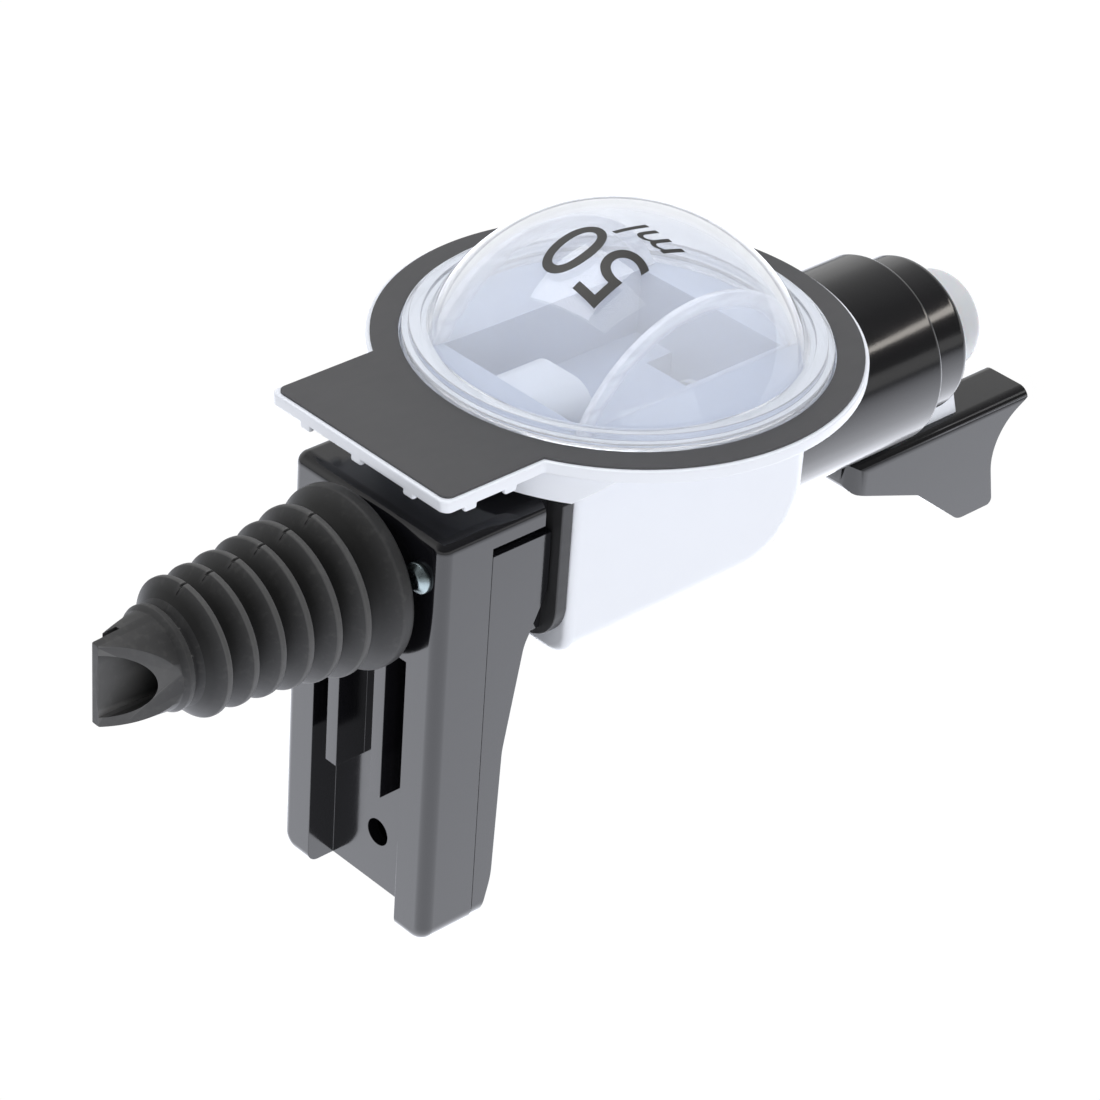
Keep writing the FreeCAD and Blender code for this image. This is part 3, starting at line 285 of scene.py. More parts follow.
def metalFinish(name, look):
    finish = Finish(name, Metallic=1.0)
    cloud = finish.noise(look["patch"], 4)
    lines = finish.noise(look["line"], 2, look["drawn"])
    finish.set(Base_Color=mottled(finish, look, cloud),
               Roughness=lines * look["smear"] + (look["rough"] - look["smear"] / 2))
    finish.relief(lines, look["relief"])
    return finish.material


# patches, grains and depths are in millimetres; drawn stretches the smears and streaks along an axis
whiteMould = {"mottle": (0.988, 1.012), "smear": 0.10, "patch": 14, "drawn": (1, 1, 0.35),
              "grain": 0.35, "relief": 0.004, "gloss": 0.5}
blackMould = {"mottle": (0.85, 1.15), "smear": 0.07, "patch": 9, "drawn": (1, 1, 0.35), "gloss": 0.5}
looks = {
    "white": {**whiteMould, "colour": (0.80, 0.83, 0.90), "rough": 0.30},
    # painted shade: the tray is the same white plastic, made darker and bluer for the shade inside the
    # chamber
    "shadedTrayWhite": {**whiteMould, "colour": (0.41, 0.47, 0.60), "rough": 0.34},
    # painted shade: the inlet arch is the same white plastic, made darker for the shade under the dome
    "shadedArchWhite": {**whiteMould, "colour": (0.70, 0.74, 0.81), "rough": 0.30},
    "label": {"colour": (0.066, 0.066, 0.070), "mottle": (0.95, 1.05), "rough": 0.56, "smear": 0.10,
              "patch": 6, "drawn": (1, 1, 0.35), "grain": 0.12, "relief": 0.010, "gloss": 0.35},
    "blackGloss": {**blackMould, "colour": (0.007, 0.007, 0.009), "rough": 0.12, "grain": 1.2,
                   "relief": 0.002},
    "blackSatin": {**blackMould, "colour": (0.007, 0.007, 0.008), "rough": 0.15, "grain": 0.4,
                   "relief": 0.004},
    "gasket": {"colour": (0.016, 0.016, 0.017), "mottle": (0.8, 1.2), "rough": 0.5, "smear": 0.12,
               "patch": 5, "drawn": (1, 1, 0.35), "grain": 0.2, "relief": 0.012, "gloss": 0.4},
    "ink": {"colour": (0.035, 0.034, 0.033), "mottle": (0.92, 1.08), "rough": 0.45, "smear": 0.1,
            "patch": 2, "drawn": (1, 1, 0.35), "grain": 0.1, "relief": 0.003, "gloss": 0.4},
    "sealRubber": {"colour": (0.62, 0.64, 0.67), "mottle": (0.95, 1.05), "rough": 0.45, "smear": 0.1,
                   "patch": 4, "drawn": (1, 1, 0.35), "grain": 0.25, "relief": 0.006, "gloss": 0.4},
    "cork": {"colour": (0.021, 0.021, 0.022), "mottle": (0.8, 1.25), "rough": 0.48, "cloudRough": 0.14,
             "gloss": 0.26, "patch": 4, "grain": 0.18, "relief": 0.012,
             "dust": 1.3, "dusty": 0.25, "dustColour": (0.075, 0.074, 0.072, 1),
             "dustWhere": [(0.52, 0), (0.72, 1)],
             # wear on the sharp edges and the painted highlight on the fin rims share one pale colour
             "wearAndHighlight": 0.6, "wearAndHighlightColour": (0.15, 0.15, 0.15, 1), "wearAndHighlightWhere": [(0.50, 0), (0.58, 1)],
             # painted shade in the grooves between the fins
             "shade": 0.9, "shadeColour": (0.005, 0.005, 0.005, 1), "grooveShadeWhere": [(0.06, 0), (0.55, 1)],
             # painted highlight along the rims of the fins
             "rimHighlight": 0.26, "rimHighlightWhere": [(0.02, 1), (0.05, 0)], "lastFin": 1.45},
    "clear": {"colour": (0.93, 0.95, 0.99, 1), "clear": 0.80, "ior": 1.49, "rough": 0.02, "wave": 9,
              "relief": 0.01, "shadow": (0.95, 0.96, 0.98, 1)},
    # the cheek's pale band along its arc, with its streaks, is a painted highlight
    "cheek": {"colour": (0.88, 0.90, 0.96), "mottle": (0.97, 1.03), "patch": 6, "rough": 0.10,
              "cloudRough": 0.1, "gloss": 0.5, "grain": 0.6, "relief": 0.004,
              "cover": 0.14, "milk": 1.1, "ridgeSheenBand": 3.0, "ridgeSheenWhere": [(0, 0), (0.55, 1)],
              "streak": 2.0, "drawn": (1, 1, 0.2)},
    "milky": {"colour": (0.60, 0.62, 0.65), "mottle": (0.97, 1.03), "patch": 6, "rough": 0.30,
              "cloudRough": 0.1, "milk": 0.35, "soak": 2, "gloss": 0.5, "grain": 0.4, "relief": 0.003},
    "steel": {"colour": (0.60, 0.60, 0.62), "mottle": (0.82, 1.12), "patch": 3, "line": 0.3,
              "drawn": (1, 1, 0.1), "rough": 0.26, "smear": 0.2, "relief": 0.003},
    "zinc": {"colour": (0.22, 0.265, 0.275), "mottle": (0.82, 1.12), "patch": 1.1, "line": 0.25,
             "drawn": (1, 0.15, 1), "rough": 0.30, "smear": 0.2, "relief": 0.006},
}

finishes = {name: mouldedPlastic(name, looks[name]) for name in
            ("white", "shadedTrayWhite", "shadedArchWhite", "label", "blackGloss", "blackSatin", "gasket", "ink",
             "sealRubber")}
finishes["cork"] = rubberFinish("cork", looks["cork"])
finishes["clear"] = clearPlastic("clear", looks["clear"])
finishes["cheek"] = cheekFinish("cheek", looks["cheek"])
finishes["milky"] = milkyPlastic("milky", looks["milky"])
finishes["steel"] = metalFinish("steel", looks["steel"])
finishes["zinc"] = metalFinish("zinc", looks["zinc"])
print("finishes made")


def settle(bm, name, body, finish, replaced=(), smoothTo=38):
    # closes the mesh work: clean normals, smooth shading up to an angle, and the ride
    bmesh.ops.remove_doubles(bm, verts=bm.verts, dist=weldGap)
    bmesh.ops.dissolve_degenerate(bm, edges=bm.edges, dist=thinEdge)
    bmesh.ops.recalc_face_normals(bm, faces=bm.faces)
    mesh = bpy.data.meshes.new(name)
    bm.to_mesh(mesh)
    bm.free()
    mesh.shade_smooth()
    mesh.set_sharp_from_angle(angle=math.radians(smoothTo))
    mesh.materials.append(finishes[finish])
    piece = bpy.data.objects.new(name, mesh)
    scene.collection.objects.link(piece)
    even = piece.modifiers.new("evenShade", "WEIGHTED_NORMAL")
    even.keep_sharp = True
    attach(piece, body)
    if replaced:
        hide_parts(*replaced)
    return piece


def roundedCorners(corners, closed=False, steps=4, most=0.49):
    # corners are (across, along) or (across, along, rounding) in millimetres; a rounding takes at most
    # this share of the runs beside it
    spots = []
    for here in range(len(corners)):
        across, along, *rounding = corners[here]
        if not rounding or (not closed and here in (0, len(corners) - 1)):
            spots.append(Vector((across, along)))
            continue
        spot = Vector((across, along))
        before = Vector(corners[here - 1][:2]) - spot
        after = Vector(corners[(here + 1) % len(corners)][:2]) - spot
        half = before.angle(after) / 2
        reach = rounding[0] / math.tan(half)
        reach = min(reach, most * before.length, most * after.length)
        start, end = spot + before.normalized() * reach, spot + after.normalized() * reach
        for step in range(steps + 1):
            share = step / steps
            spots.append(start.lerp(spot, share).lerp(spot.lerp(end, share), share))
    return spots


def lathe(corners, closed=False, steps=160, about="Z", rounding=4):
    # an outline of (radius, height) spun round an axis
    bm = bmesh.new()
    spots = roundedCorners(corners, closed, rounding)
    place = (lambda s: (s.x * mm, 0, s.y * mm)) if about == "Z" else (lambda s: (s.x * mm, s.y * mm, 0))
    verts = [bm.verts.new(place(spot)) for spot in spots]
    pairs = list(zip(verts, verts[1:])) + ([(verts[-1], verts[0])] if closed else [])
    edges = [bm.edges.new(pair) for pair in pairs]
    bmesh.ops.spin(bm, geom=verts + edges, cent=(0, 0, 0), dvec=(0, 0, 0), steps=steps,
                   axis=(0, 0, 1) if about == "Z" else (0, 1, 0), angle=2 * math.pi,
                   use_merge=True, use_duplicate=False)
    bmesh.ops.remove_doubles(bm, verts=bm.verts, dist=weldGap)
    bmesh.ops.dissolve_degenerate(bm, edges=bm.edges, dist=thinEdge)
    bmesh.ops.recalc_face_normals(bm, faces=bm.faces)
    return bm


def prism(corners, start, end, along="Z", rounding=4):
    # a closed outline in millimetres, raised from start to end along an axis
    bm = bmesh.new()
    place = {"X": lambda s: (start, s.x, s.y), "Y": lambda s: (s.x, start, s.y),
             "Z": lambda s: (s.x, s.y, start)}[along]
    verts = [bm.verts.new(Vector(place(spot)) * mm) for spot in roundedCorners(corners, True, rounding)]
    face = bm.faces.new(verts)
    raised = bmesh.ops.extrude_face_region(bm, geom=[face])["geom"]
    shift = Vector([(end - start) * mm if axis == along else 0 for axis in "XYZ"])
    bmesh.ops.translate(bm, vec=shift, verts=[v for v in raised if isinstance(v, bmesh.types.BMVert)])
    bmesh.ops.recalc_face_normals(bm, faces=bm.faces)
    return bm


def block(low, high):
    x0, y0, z0 = low
    x1, y1, z1 = high
    return prism([(x0, y0), (x1, y0), (x1, y1), (x0, y1)], z0, z1)


def meshObject(bm):
    mesh = bpy.data.meshes.new("tool")
    bm.to_mesh(mesh)
    bm.free()
    tool = bpy.data.objects.new("tool", mesh)
    scene.collection.objects.link(tool)
    return tool


def combine(bm, others, operation):
    # cuts the other shapes from the first, or joins them to it
    target = meshObject(bm)
    tools = [meshObject(other) for other in others]
    for tool in tools:
        step = target.modifiers.new("step", "BOOLEAN")
        step.operation, step.object, step.solver = operation, tool, "EXACT"
    bpy.context.view_layer.update()
    graph = bpy.context.evaluated_depsgraph_get()
    mesh = bpy.data.meshes.new_from_object(target.evaluated_get(graph))
    result = bmesh.new()
    result.from_mesh(mesh)
    for item in [target, *tools]:
        bpy.data.objects.remove(item)
    bmesh.ops.remove_doubles(result, verts=result.verts, dist=weldGap)
    return result


def addTo(whole, part):
    # puts one shape into another's mesh
    mesh = bpy.data.meshes.new("part")
    part.to_mesh(mesh)
    part.free()
    whole.from_mesh(mesh)
    bpy.data.meshes.remove(mesh)


def seatOnAxis(bm):
    # shapes are drawn about the valve's axis and then moved to it
    bmesh.ops.translate(bm, vec=valveAxis, verts=bm.verts)
    return bm


def softenEdges(bm, width, sharper=34, segments=2, wanted=lambda edge: True):
    # rounds the edges that are sharper than this many degrees
    sharp = [edge for edge in bm.edges if edge.is_manifold and wanted(edge)
             and edge.calc_face_angle(0) > math.radians(sharper)]
    bmesh.ops.bevel(bm, geom=sharp, offset=width * mm, offset_type="OFFSET", segments=segments,
                    profile=0.5, affect="EDGES", clamp_overlap=True, material=-1)


def cadShape(node, flatter=0.4):
    # a copy of the CAD piece, with its flat faces whole again
    bm = bmesh.new()
    bm.from_mesh(nodes[node].data)
    bmesh.ops.remove_doubles(bm, verts=bm.verts, dist=weldGap)
    bmesh.ops.dissolve_limit(bm, angle_limit=math.radians(flatter), verts=bm.verts, edges=bm.edges)
    return bm


def softCopy(node, name, finish, width, body=fixedBody, sharper=34, segments=2):
    # the CAD piece with its edges rounded as a mould leaves them
    bm = cadShape(node)
    softenEdges(bm, width, sharper, segments)
    return settle(bm, name, body, finish, [node])


def makeCork():
    c = cork
    corners = [(c["bore"], c["foot"]), (c["neck"], c["foot"]), (c["neck"], c["base"], c["footRound"]),
               (c["collar"], c["base"], c["collarRound"]),
               (c["collar"], c["base"] + c["collarHigh"], c["collarRound"])]
    rims = []
    for turn in range(c["fins"]):
        level = c["finStart"] + c["pitch"] * turn
        last = turn == c["fins"] - 1
        rim = c["tipRim"] if last else c["rim"] - c["taper"] * turn + c["swell"] * turn ** 2
        root = c["noseRoot"] - c["lip"] if last else rim - c["depth"]
        rims.append((rim, level))
        corners += [(root, level - c["lip"], c["rootRound"]), (rim, level - c["lip"] / 2, c["rimRound"]),
                    (rim, level + c["lip"] / 2, c["rimRound"])]
    corners += [(c["noseRoot"], level + 1.5 * c["lip"], c["rootEdge"]),
                (c["noseTip"], c["top"], c["tipEdge"]), (0, c["top"]), (0, c["boreTop"]),
                (c["bore"], c["boreTop"])]
    bm = lathe(corners, True, c["around"])
    wide, top, half = c["noseRoot"] + c["depth"], c["top"] + 1, c["septum"] / 2
    scoop = [(-wide, c["portStart"]), (-c["ledge"], c["portStart"]), (-half, c["top"]), (-half, top),
             (-wide, top)]
    back = [(wide, c["portStart"]), (c["back"], c["portStart"]), (half, c["top"]), (half, top),
            (wide, top)]
    passage = []   # a D, straight along the septum
    for step in range(c["passageSteps"] + 1):
        turn = math.pi * step / c["passageSteps"]
        passage.append((-half - (c["passageDepth"] - half) * math.sin(turn),
                        c["passageHalf"] * math.cos(turn)))
    slotWide, slotDeep, slotLong = c["slot"]
    tubeAcross, tubeRadius, tubeSides = c["tube"]
    tube = bmesh.new()
    bmesh.ops.create_cone(tube, cap_ends=True, segments=tubeSides, radius1=tubeRadius * mm,
                          radius2=tubeRadius * mm, depth=(top - c["boreTop"]) * mm)
    bmesh.ops.translate(tube, vec=Vector((tubeAcross, 0, (top + c["boreTop"]) / 2)) * mm, verts=tube.verts)
    tools = [prism(scoop, -wide, wide, "Y"), prism(back, -wide, wide, "Y"),
             prism(passage, c["boreTop"] - 1, top),
             block((half, -c["noseRoot"], c["top"] - slotLong),
                   (half + slotWide, slotDeep - c["noseTip"], top)),
             tube]
    below, above = c["nickSpan"]
    for rim, level in rims[:-1]:   # the mould's parting line, and the nick that it leaves in each rim
        for half, deep in (c["nick"], c["parting"]):
            tools.append(block((-half, -rim - 1, level - below), (half, deep - rim, level + above)))
    bm = combine(bm, tools, "DIFFERENCE")
    softenEdges(bm, c["noseEdge"], c["sharper"],
                wanted=lambda edge: min(v.co.z for v in edge.verts) > (c["portStart"] - 2) * mm)
    settle(seatOnAxis(bm), "corkBody", fixedBody, "cork", ["bottle_cork"])


makeCork()
print("cork made")


def domeArc(radius, foot):
    # points of the cap from its apex down to the foot level
    reach = math.acos((dome["centre"] - foot) / radius)
    return [(radius * math.sin(reach * k / dome["arcs"]),
             dome["centre"] - radius * math.cos(reach * k / dome["arcs"])) for k in range(dome["arcs"] + 1)]


def makeDome():
    d = dome
    inner, rimFront = d["radius"] - d["wall"], d["front"] - d["stand"]
    outside = domeArc(d["radius"], rimFront + d["groove"])
    lip, groove = d["rim"] - d["stepWide"], d["base"] + d["grooveWide"]
    rim = [(d["rim"], d["foot"]), (d["rim"], rimFront + d["step"]), (lip, rimFront + d["step"]),
           (lip, rimFront), (groove, rimFront), (groove, rimFront + d["groove"])]
    rim = [(*corner, rounding) for corner, rounding in zip(rim, d["cornerRounds"])]
    bm = lathe(domeArc(inner, d["foot"]) + rim + outside[::-1], False, d["around"], "Y")
    middle = d["cheekAt"] + d["cheekWall"] / 2
    reach = math.sqrt((inner - d["cheekGap"]) ** 2 - (middle + d["cheekWall"] / 2) ** 2)
    cheeks = bmesh.new()
    for side in (1, -1):
        cheek = bmesh.new()
        bmesh.ops.create_circle(cheek, cap_ends=True, segments=d["cheekSides"], radius=reach * mm)
        bmesh.ops.rotate(cheek, verts=cheek.verts, cent=(0, 0, 0),
                         matrix=Matrix.Rotation(math.pi / 2, 3, "Y"))
        bmesh.ops.translate(cheek, vec=Vector((side * d["cheekAt"], d["centre"], 0)) * mm,
                            verts=cheek.verts)
        bmesh.ops.bisect_plane(cheek, geom=cheek.verts[:] + cheek.edges[:] + cheek.faces[:],
                               plane_co=(0, d["foot"] * mm, 0), plane_no=(0, 1, 0), clear_outer=True)
        raised = bmesh.ops.extrude_face_region(cheek, geom=cheek.faces[:])["geom"]
        bmesh.ops.translate(cheek, vec=(side * d["cheekWall"] * mm, 0, 0),
                            verts=[v for v in raised if isinstance(v, bmesh.types.BMVert)])
        bmesh.ops.recalc_face_normals(cheek, faces=cheek.faces)
        addTo(cheeks, cheek)
    softenEdges(cheeks, d["cheekEdge"], 60, 3)
    settle(seatOnAxis(bm), "domeShell", fixedBody, "clear", ["window_dome"], 30)
    settle(seatOnAxis(cheeks), "domeCheeks", fixedBody, "cheek")


# volume marking on the cap: each word's box, its slant and the climb of its line
marking = {"volumeNumber": {"text": "50", "low": (-11.0, 4.9), "high": (4.1, 16.2), "lean": 0, "climb": 0},
           "volumeUnit": {"text": "ml", "low": (-10.7, -2.4), "high": (-2.8, 3.1), "lean": 1.7,
                          "climb": 1.2}}
inkFilm = {"back": 0.01, "front": 0.05, "curveSteps": 8, "weld": 1e-5}


def printOnDome(name, text, low, high, lean, climb):
    # an ink film that follows the cap
    curve = bpy.data.curves.new(name, "FONT")
    curve.body, curve.resolution_u = text, inkFilm["curveSteps"]
    words = bpy.data.objects.new(name, curve)
    scene.collection.objects.link(words)
    bpy.context.view_layer.update()
    flat = bpy.data.meshes.new_from_object(words.evaluated_get(bpy.context.evaluated_depsgraph_get()))
    bpy.data.objects.remove(words)
    bm = bmesh.new()
    bm.from_mesh(flat)
    bmesh.ops.remove_doubles(bm, verts=bm.verts, dist=inkFilm["weld"])
    left, right = min(v.co.x for v in bm.verts), max(v.co.x for v in bm.verts)
    bottom, top = min(v.co.y for v in bm.verts), max(v.co.y for v in bm.verts)
    for vert in bm.verts:
        across, up = (vert.co.x - left) / (right - left), (vert.co.y - bottom) / (top - bottom)
        vert.co = Vector((low[0] + across * (high[0] - low[0]) + lean * up, 0,
                          low[1] + up * (high[1] - low[1]) + climb * across)) * mm
    for axis, start, end in ((0, low[0], high[0] + lean), (2, low[1], high[1] + climb)):
        for step in range(1, int(end - start) + 1):   # strips, so that the film can bend
            spot, normal = Vector((0, 0, 0)), Vector((0, 0, 0))
            spot[axis], normal[axis] = (start + step) * mm, 1
            bmesh.ops.bisect_plane(bm, geom=bm.verts[:] + bm.edges[:] + bm.faces[:], plane_co=spot,
                                   plane_no=normal)
    raised = bmesh.ops.extrude_face_region(bm, geom=bm.faces[:])["geom"]
    front = {v for v in raised if isinstance(v, bmesh.types.BMVert)}
    for vert in bm.verts:
        lift = dome["radius"] + inkFilm["front" if vert in front else "back"]
        across = vert.co.x ** 2 + vert.co.z ** 2
        vert.co.y = dome["centre"] * mm - math.sqrt((lift * mm) ** 2 - across)
    settle(seatOnAxis(bm), name, fixedBody, "ink", (), 60)


makeDome()
for name, word in marking.items():
    printOnDome(name, **word)
print("dome and marking made")


# screws: domed heads with a cross recess
screws = {"side": 13.0, "front": -5.2, "seat": 51.7, "shank": 1.4, "tip": 16.5, "point": 0.8,
          "head": 2.6, "high": 1.7, "shoulder": 0.7, "crown": 1.5, "headRounds": (0.15, 0.5, 0.9),
          "cross": (1.5, 0.36), "deep": 1.1, "turned": 0.5, "around": 64}


def makeScrews():
    s = screws
    top = s["seat"] + s["high"]
    reach, half = s["cross"]
    underRound, sideRound, topRound = s["headRounds"]
    whole = bmesh.new()
    for side in (1, -1):
        bm = lathe([(0, s["tip"]), (s["shank"], s["tip"] + s["point"]), (s["shank"], s["seat"]),
                    (s["head"], s["seat"], underRound), (s["head"], s["seat"] + s["shoulder"], sideRound),
                    (s["crown"], top, topRound), (0, top)], steps=s["around"])
        bm = combine(bm, [block((-reach, -half, top - s["deep"]), (reach, half, top + 1)),
                          block((-half, -reach, top - s["deep"]), (half, reach, top + 1))], "DIFFERENCE")
        bmesh.ops.rotate(bm, verts=bm.verts, cent=(0, 0, 0),
                         matrix=Matrix.Rotation(s["turned"] * side, 3, "Z"))
        bmesh.ops.translate(bm, vec=Vector((side * s["side"], s["front"], 0)) * mm, verts=bm.verts)
        addTo(whole, bm)
    settle(seatOnAxis(whole), "screwPair", fixedBody, "zinc", ["bracket_screws"])


makeScrews()
print("screws made")


# moulded pieces: the CAD shapes with their edges rounded
moulded = [
    # CAD piece, name, slot, finish, rounding, body
    ("face_plate", "plateDisc", "white", "white", 0.35, fixedBody),
    ("face_label", "labelFilm", "label", "label", 0.06, fixedBody),
    ("measuring_body", "bodyShell", "white", "white", 0.4, fixedBody),
    ("chamber_tray", "trayFloor", "white", "shadedTrayWhite", 0.4, fixedBody),
    ("inlet_housing", "inletArch", "white", "shadedArchWhite", 0.5, fixedBody),
    ("lower_barrel", "barrelTube", "black_satin", "blackSatin", 0.3, fixedBody),
    ("end_collar", "collarRing", "black_satin", "blackSatin", 0.3, fixedBody),
    ("bracket_housing", "armHousing", "black_gloss", "blackGloss", 0.45, fixedBody),
    ("bracket_cover", "armCover", "black_gloss", "blackGloss", 0.45, fixedBody),
    ("flange_gasket", "flangeSheet", "rubber", "gasket", 0.25, fixedBody),
    ("nozzle", "nozzleTube", "milky", "milky", 0.4, movingBody),
    ("lever_key", "leverKey", "white", "white", 0.4, movingBody),
]
for node, name, slot, finish, width, body in moulded:
    softCopy(node, name, finish, width, body)


# push lever: the CAD shape with a rounder nose and rounder front edges
lever = {"half": 5.6, "start": -54.0, "end": -101, "low": 18, "high": 42, "noseDeep": 24.32,
         "barDeep": 31.2, "barEnd": -72.5, "noseRound": 4.6, "heelRound": 5.5, "frontRound": 1.8,
         "roundSteps": 8, "edge": 0.45, "skin": 0.01}   # skin keeps the flat sides as they are


def makeLever():
    v = lever
    wide, steps = v["half"] + v["skin"], v["roundSteps"]
    plan = [(-wide, v["end"]), (wide, v["end"]), (wide, v["start"], v["noseRound"]),
            (-wide, v["start"], v["noseRound"])]
    front = (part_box("push_lever")[0][1] - valveAxis.y) / mm
    section = [(-wide, front, v["frontRound"]), (wide, front, v["frontRound"]), (wide, v["high"]),
               (-wide, v["high"])]
    side = [(v["low"], v["start"]), (v["noseDeep"], v["start"], v["heelRound"]),
            (v["barDeep"], v["barEnd"]), (v["high"], v["barEnd"]), (v["high"], v["end"]),
            (v["low"], v["end"])]
    tools = [prism(plan, v["low"], v["high"], "Y", steps),
             prism(side, -v["half"] - 1, v["half"] + 1, "X", steps),
             prism(section, v["end"] - 1, v["start"] + 1, "Z", steps)]
    bm = combine(cadShape("push_lever"), [seatOnAxis(tool) for tool in tools], "INTERSECT")
    softenEdges(bm, v["edge"])
    settle(bm, "pushLever", movingBody, "blackSatin", ["push_lever"])


makeLever()
print("moulded pieces made")


def makeSpring():
    coil = settle(cadShape("return_spring"), "springCoil", fixedBody, "steel", ["return_spring"])
    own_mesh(coil)


makeSpring()
print("spring made")


# inner pieces keep their CAD shapes and get a finish
inside = {"window_gasket": "sealRubber", "barrel_seal": "sealRubber", "inlet_seal": "sealRubber",
          "outlet_seal": "sealRubber", "outlet_seat": "milky", "valve_spindle": "milky",
          "inlet_spigot": "blackSatin", "air_tube": "steel"}
for node, finish in inside.items():
    nodes[node].data.materials.clear()
    nodes[node].data.materials.append(finishes[finish])
for node in nodes:
    if not nodes[node].hide_render and node not in inside:
        print("no finish on", node)


# studio: floor, world, lamps and camera
studio = {"floorDrop": 6, "floorSide": 4000, "floorColour": (0.9, 0.9, 0.9, 1), "floorRough": 0.9,
          "floorGlow": 1.05, "floorShare": 0.9,   # how much of the floor that is seen is its glow
          "worldLevel": 0.62, "cardSide": 8000,
          "roomFront": -750, "roomGlow": 1.3, "roomTint": (1, 1, 1, 1), "roomWide": 4,
          "roomTones": [(0.12, 0.11), (0.45, 0.18), (0.62, 0.48), (0.78, 0.85)],
          "tableBack": 350, "tableGlow": 2.9, "tableTint": (0.91, 0.93, 1.0, 1),
          "tableReach": 3.2, "tableTones": [(0.19, 1), (1, 0.1)],
          "camera": (-379.89, -385.64, 341.84), "right": (-0.67451, -0.06018, -0.73581),
          "up": (0.43432, -0.83829, -0.32958), "back": (-0.59699, -0.54189, 0.59157),
          "lens": 129.0, "sensor": 36, "clip": (0.01, 20)}
lamps = [
    # name, direction from the part, distance, width, height, watts, shows in gloss
    ("topSoftbox", (0.25, -1.0, 0.05), 700, 600, 450, 2.4, True),
    ("sideSoftbox", (-1.0, -0.35, 0.25), 800, 400, 700, 1.9, False),
    ("farStrip", (0.9, -0.5, -0.6), 800, 250, 700, 0.8, False),
    ("backFill", (0.3, 1.0, 0.6), 900, 700, 700, 1.0, False),
]
streak = {"place": (-51, -98), "lift": 1, "long": 70, "wide": 8, "turn": 28, "watts": 0.014,
          "colour": (1.0, 0.95, 0.88), "lights": ("barrelTube", "collarRing")}   # warm, by the barrel


def sheetAt(name, side, centre, axis):
    bm = bmesh.new()
    bmesh.ops.create_grid(bm, x_segments=2, y_segments=2, size=side * mm / 2)
    if axis == "Y":
        bmesh.ops.rotate(bm, verts=bm.verts, cent=(0, 0, 0), matrix=Matrix.Rotation(math.pi / 2, 3, "X"))
    bmesh.ops.translate(bm, vec=centre, verts=bm.verts)
    sheet = meshObject(bm)
    sheet.name = name
    return sheet


def makeFloor(level):
    floor = sheetAt("floor", studio["floorSide"], (0, 0, level), "Z")
    pale = Finish("paleFloor")
    pale.set(Base_Color=studio["floorColour"], Roughness=studio["floorRough"])
    white = pale.add("ShaderNodeEmission", {}, {"Color": (1, 1, 1, 1), "Strength": studio["floorGlow"]})
    pale.show(pale.add("ShaderNodeMixShader", {}, {0: pale.seenRays() * studio["floorShare"],
                                                   1: pale.shader, 2: white}))
    floor.data.materials.append(pale.material)
    floor.visible_glossy = False   # gloss sees the bright table and the world instead


def glossOnly(card):
    card.visible_camera = card.visible_diffuse = card.visible_transmission = False
    card.visible_shadow = card.visible_volume_scatter = False


def glowingCard(name, level, glow, tint, shade):
    # a large card that only gloss sees; shade gives its tone from x and z in metres
    card = sheetAt(name, studio["cardSide"], (0, level * mm, 0), "Y")
    glossOnly(card)
    cloth = Finish(name)
    split = cloth.add("ShaderNodeSeparateXYZ", {}, {"Vector": cloth.place}).socket.node
    tone = shade(cloth, Wire(cloth, split.outputs[0]), Wire(cloth, split.outputs[2]))
    colour = cloth.blend(tone, (0, 0, 0, 1), tint)
    cloth.show(cloth.add("ShaderNodeEmission", {}, {"Color": colour, "Strength": glow}))
    card.data.materials.append(cloth.material)


def makeCards():
    def acrossRoom(cloth, x, z):   # dim on one side, paler towards the other
        return cloth.ramp(x * (1 / studio["roomWide"]) + 0.5, studio["roomTones"])

    def fromMiddle(cloth, x, z):   # a bright table that fades outwards
        away = cloth.add("ShaderNodeMath", {"operation": "SQRT"}, {0: x * x + z * z})
        return cloth.ramp(away * (1 / studio["tableReach"]), studio["tableTones"])

    glowingCard("dimRoom", studio["roomFront"], studio["roomGlow"], studio["roomTint"], acrossRoom)
    glowingCard("whiteTable", studio["tableBack"], studio["tableGlow"], studio["tableTint"], fromMiddle)


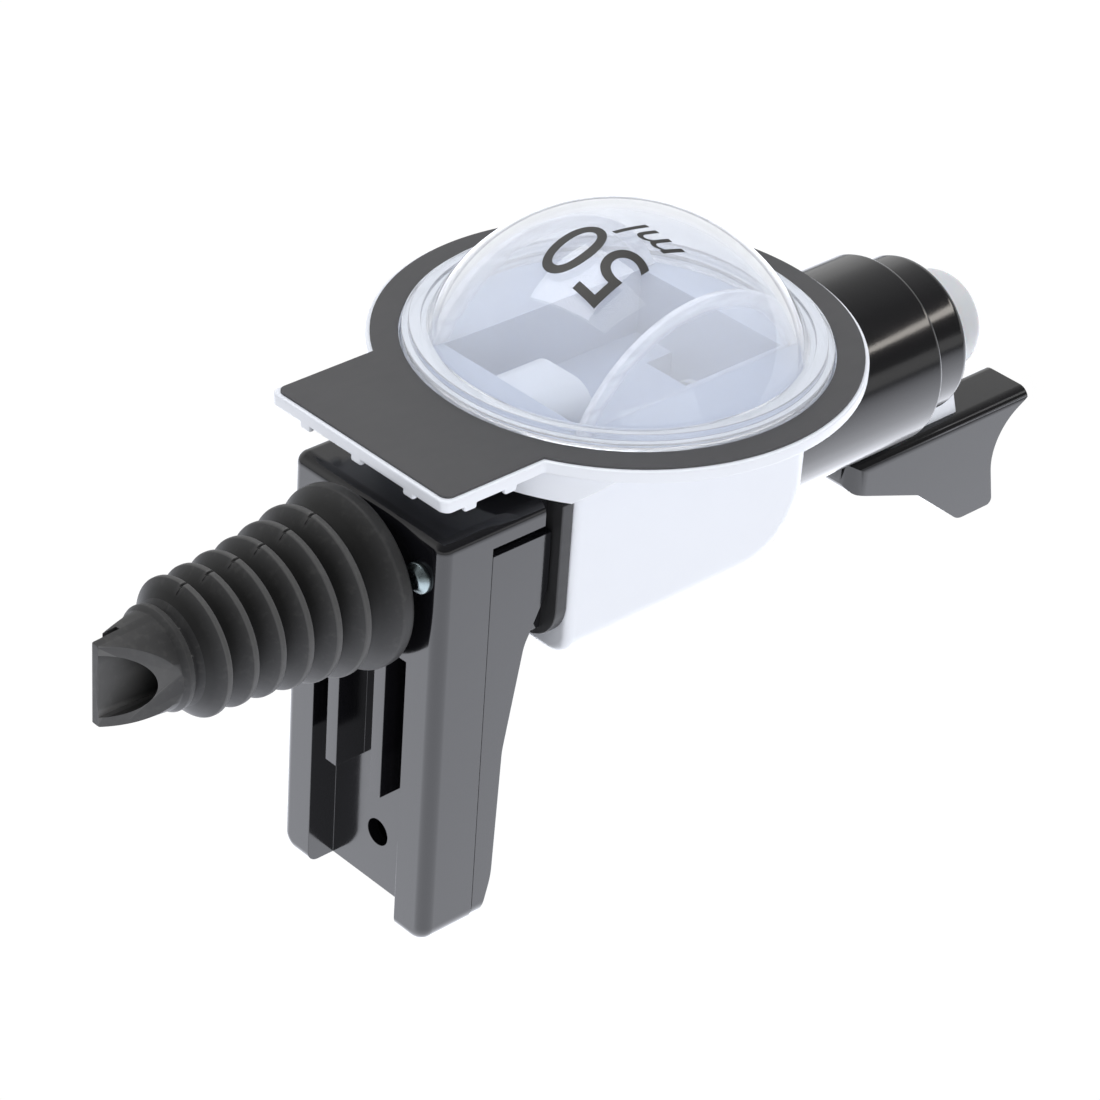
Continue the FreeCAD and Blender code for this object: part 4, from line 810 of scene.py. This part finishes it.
def makeWorld():
    scene.world = bpy.data.worlds.new("studioWorld")
    world = Wiring(scene.world, "ShaderNodeOutputWorld")
    dim = world.add("ShaderNodeBackground", {}, {"Color": (1, 1, 1, 1), "Strength": studio["worldLevel"]})
    bright = world.add("ShaderNodeBackground", {}, {"Color": (1, 1, 1, 1), "Strength": 1.0})
    world.show(world.add("ShaderNodeMixShader", {}, {0: world.seenRays(), 1: dim, 2: bright}))


def areaLamp(name, wide, high, watts):
    lamp = bpy.data.lights.new(name, "AREA")
    lamp.shape, lamp.size, lamp.size_y, lamp.energy = "RECTANGLE", wide * mm, high * mm, watts
    holder = bpy.data.objects.new(name, lamp)
    holder.visible_camera = False
    scene.collection.objects.link(holder)
    return holder


def makeLamps(centre, level):
    for name, direction, distance, wide, high, watts, inGloss in lamps:
        holder = areaLamp(name, wide, high, watts)
        holder.visible_glossy = inGloss
        away = Vector(direction).normalized()
        holder.location = centre + away * distance * mm
        holder.rotation_euler = away.to_track_quat("Z", "Y").to_euler()
    strip = areaLamp("streakStrip", streak["long"], streak["wide"], streak["watts"])
    strip.data.color = streak["colour"]
    strip.visible_diffuse = False
    receivers = bpy.data.collections.new("streakReceivers")   # nothing else shows the strip
    for name in streak["lights"]:
        receivers.objects.link(bpy.data.objects[name])
    strip.light_linking.receiver_collection = receivers
    strip.location = (streak["place"][0] * mm, streak["place"][1] * mm, level + streak["lift"] * mm)
    strip.rotation_euler = (math.pi, 0, math.radians(streak["turn"]))


def makeCamera():
    camera = bpy.data.cameras.new("camera")
    camera.lens, camera.sensor_width = studio["lens"], studio["sensor"]
    camera.clip_start, camera.clip_end = studio["clip"]
    stand = bpy.data.objects.new("camera", camera)
    turn = Matrix((studio["right"], studio["up"], studio["back"])).transposed()
    stand.matrix_world = Matrix.Translation(Vector(studio["camera"]) * mm) @ turn.to_4x4()
    scene.collection.objects.link(stand)
    scene.camera = stand
    scene.view_settings.view_transform = "Standard"


def makeStudio():
    low, high = [Vector(corner) for corner in cadBox]
    level = low.z - studio["floorDrop"] * mm
    makeFloor(level)
    makeCards()
    makeWorld()
    makeLamps((low + high) / 2, level)
    makeCamera()


makeStudio()
print("studio made")
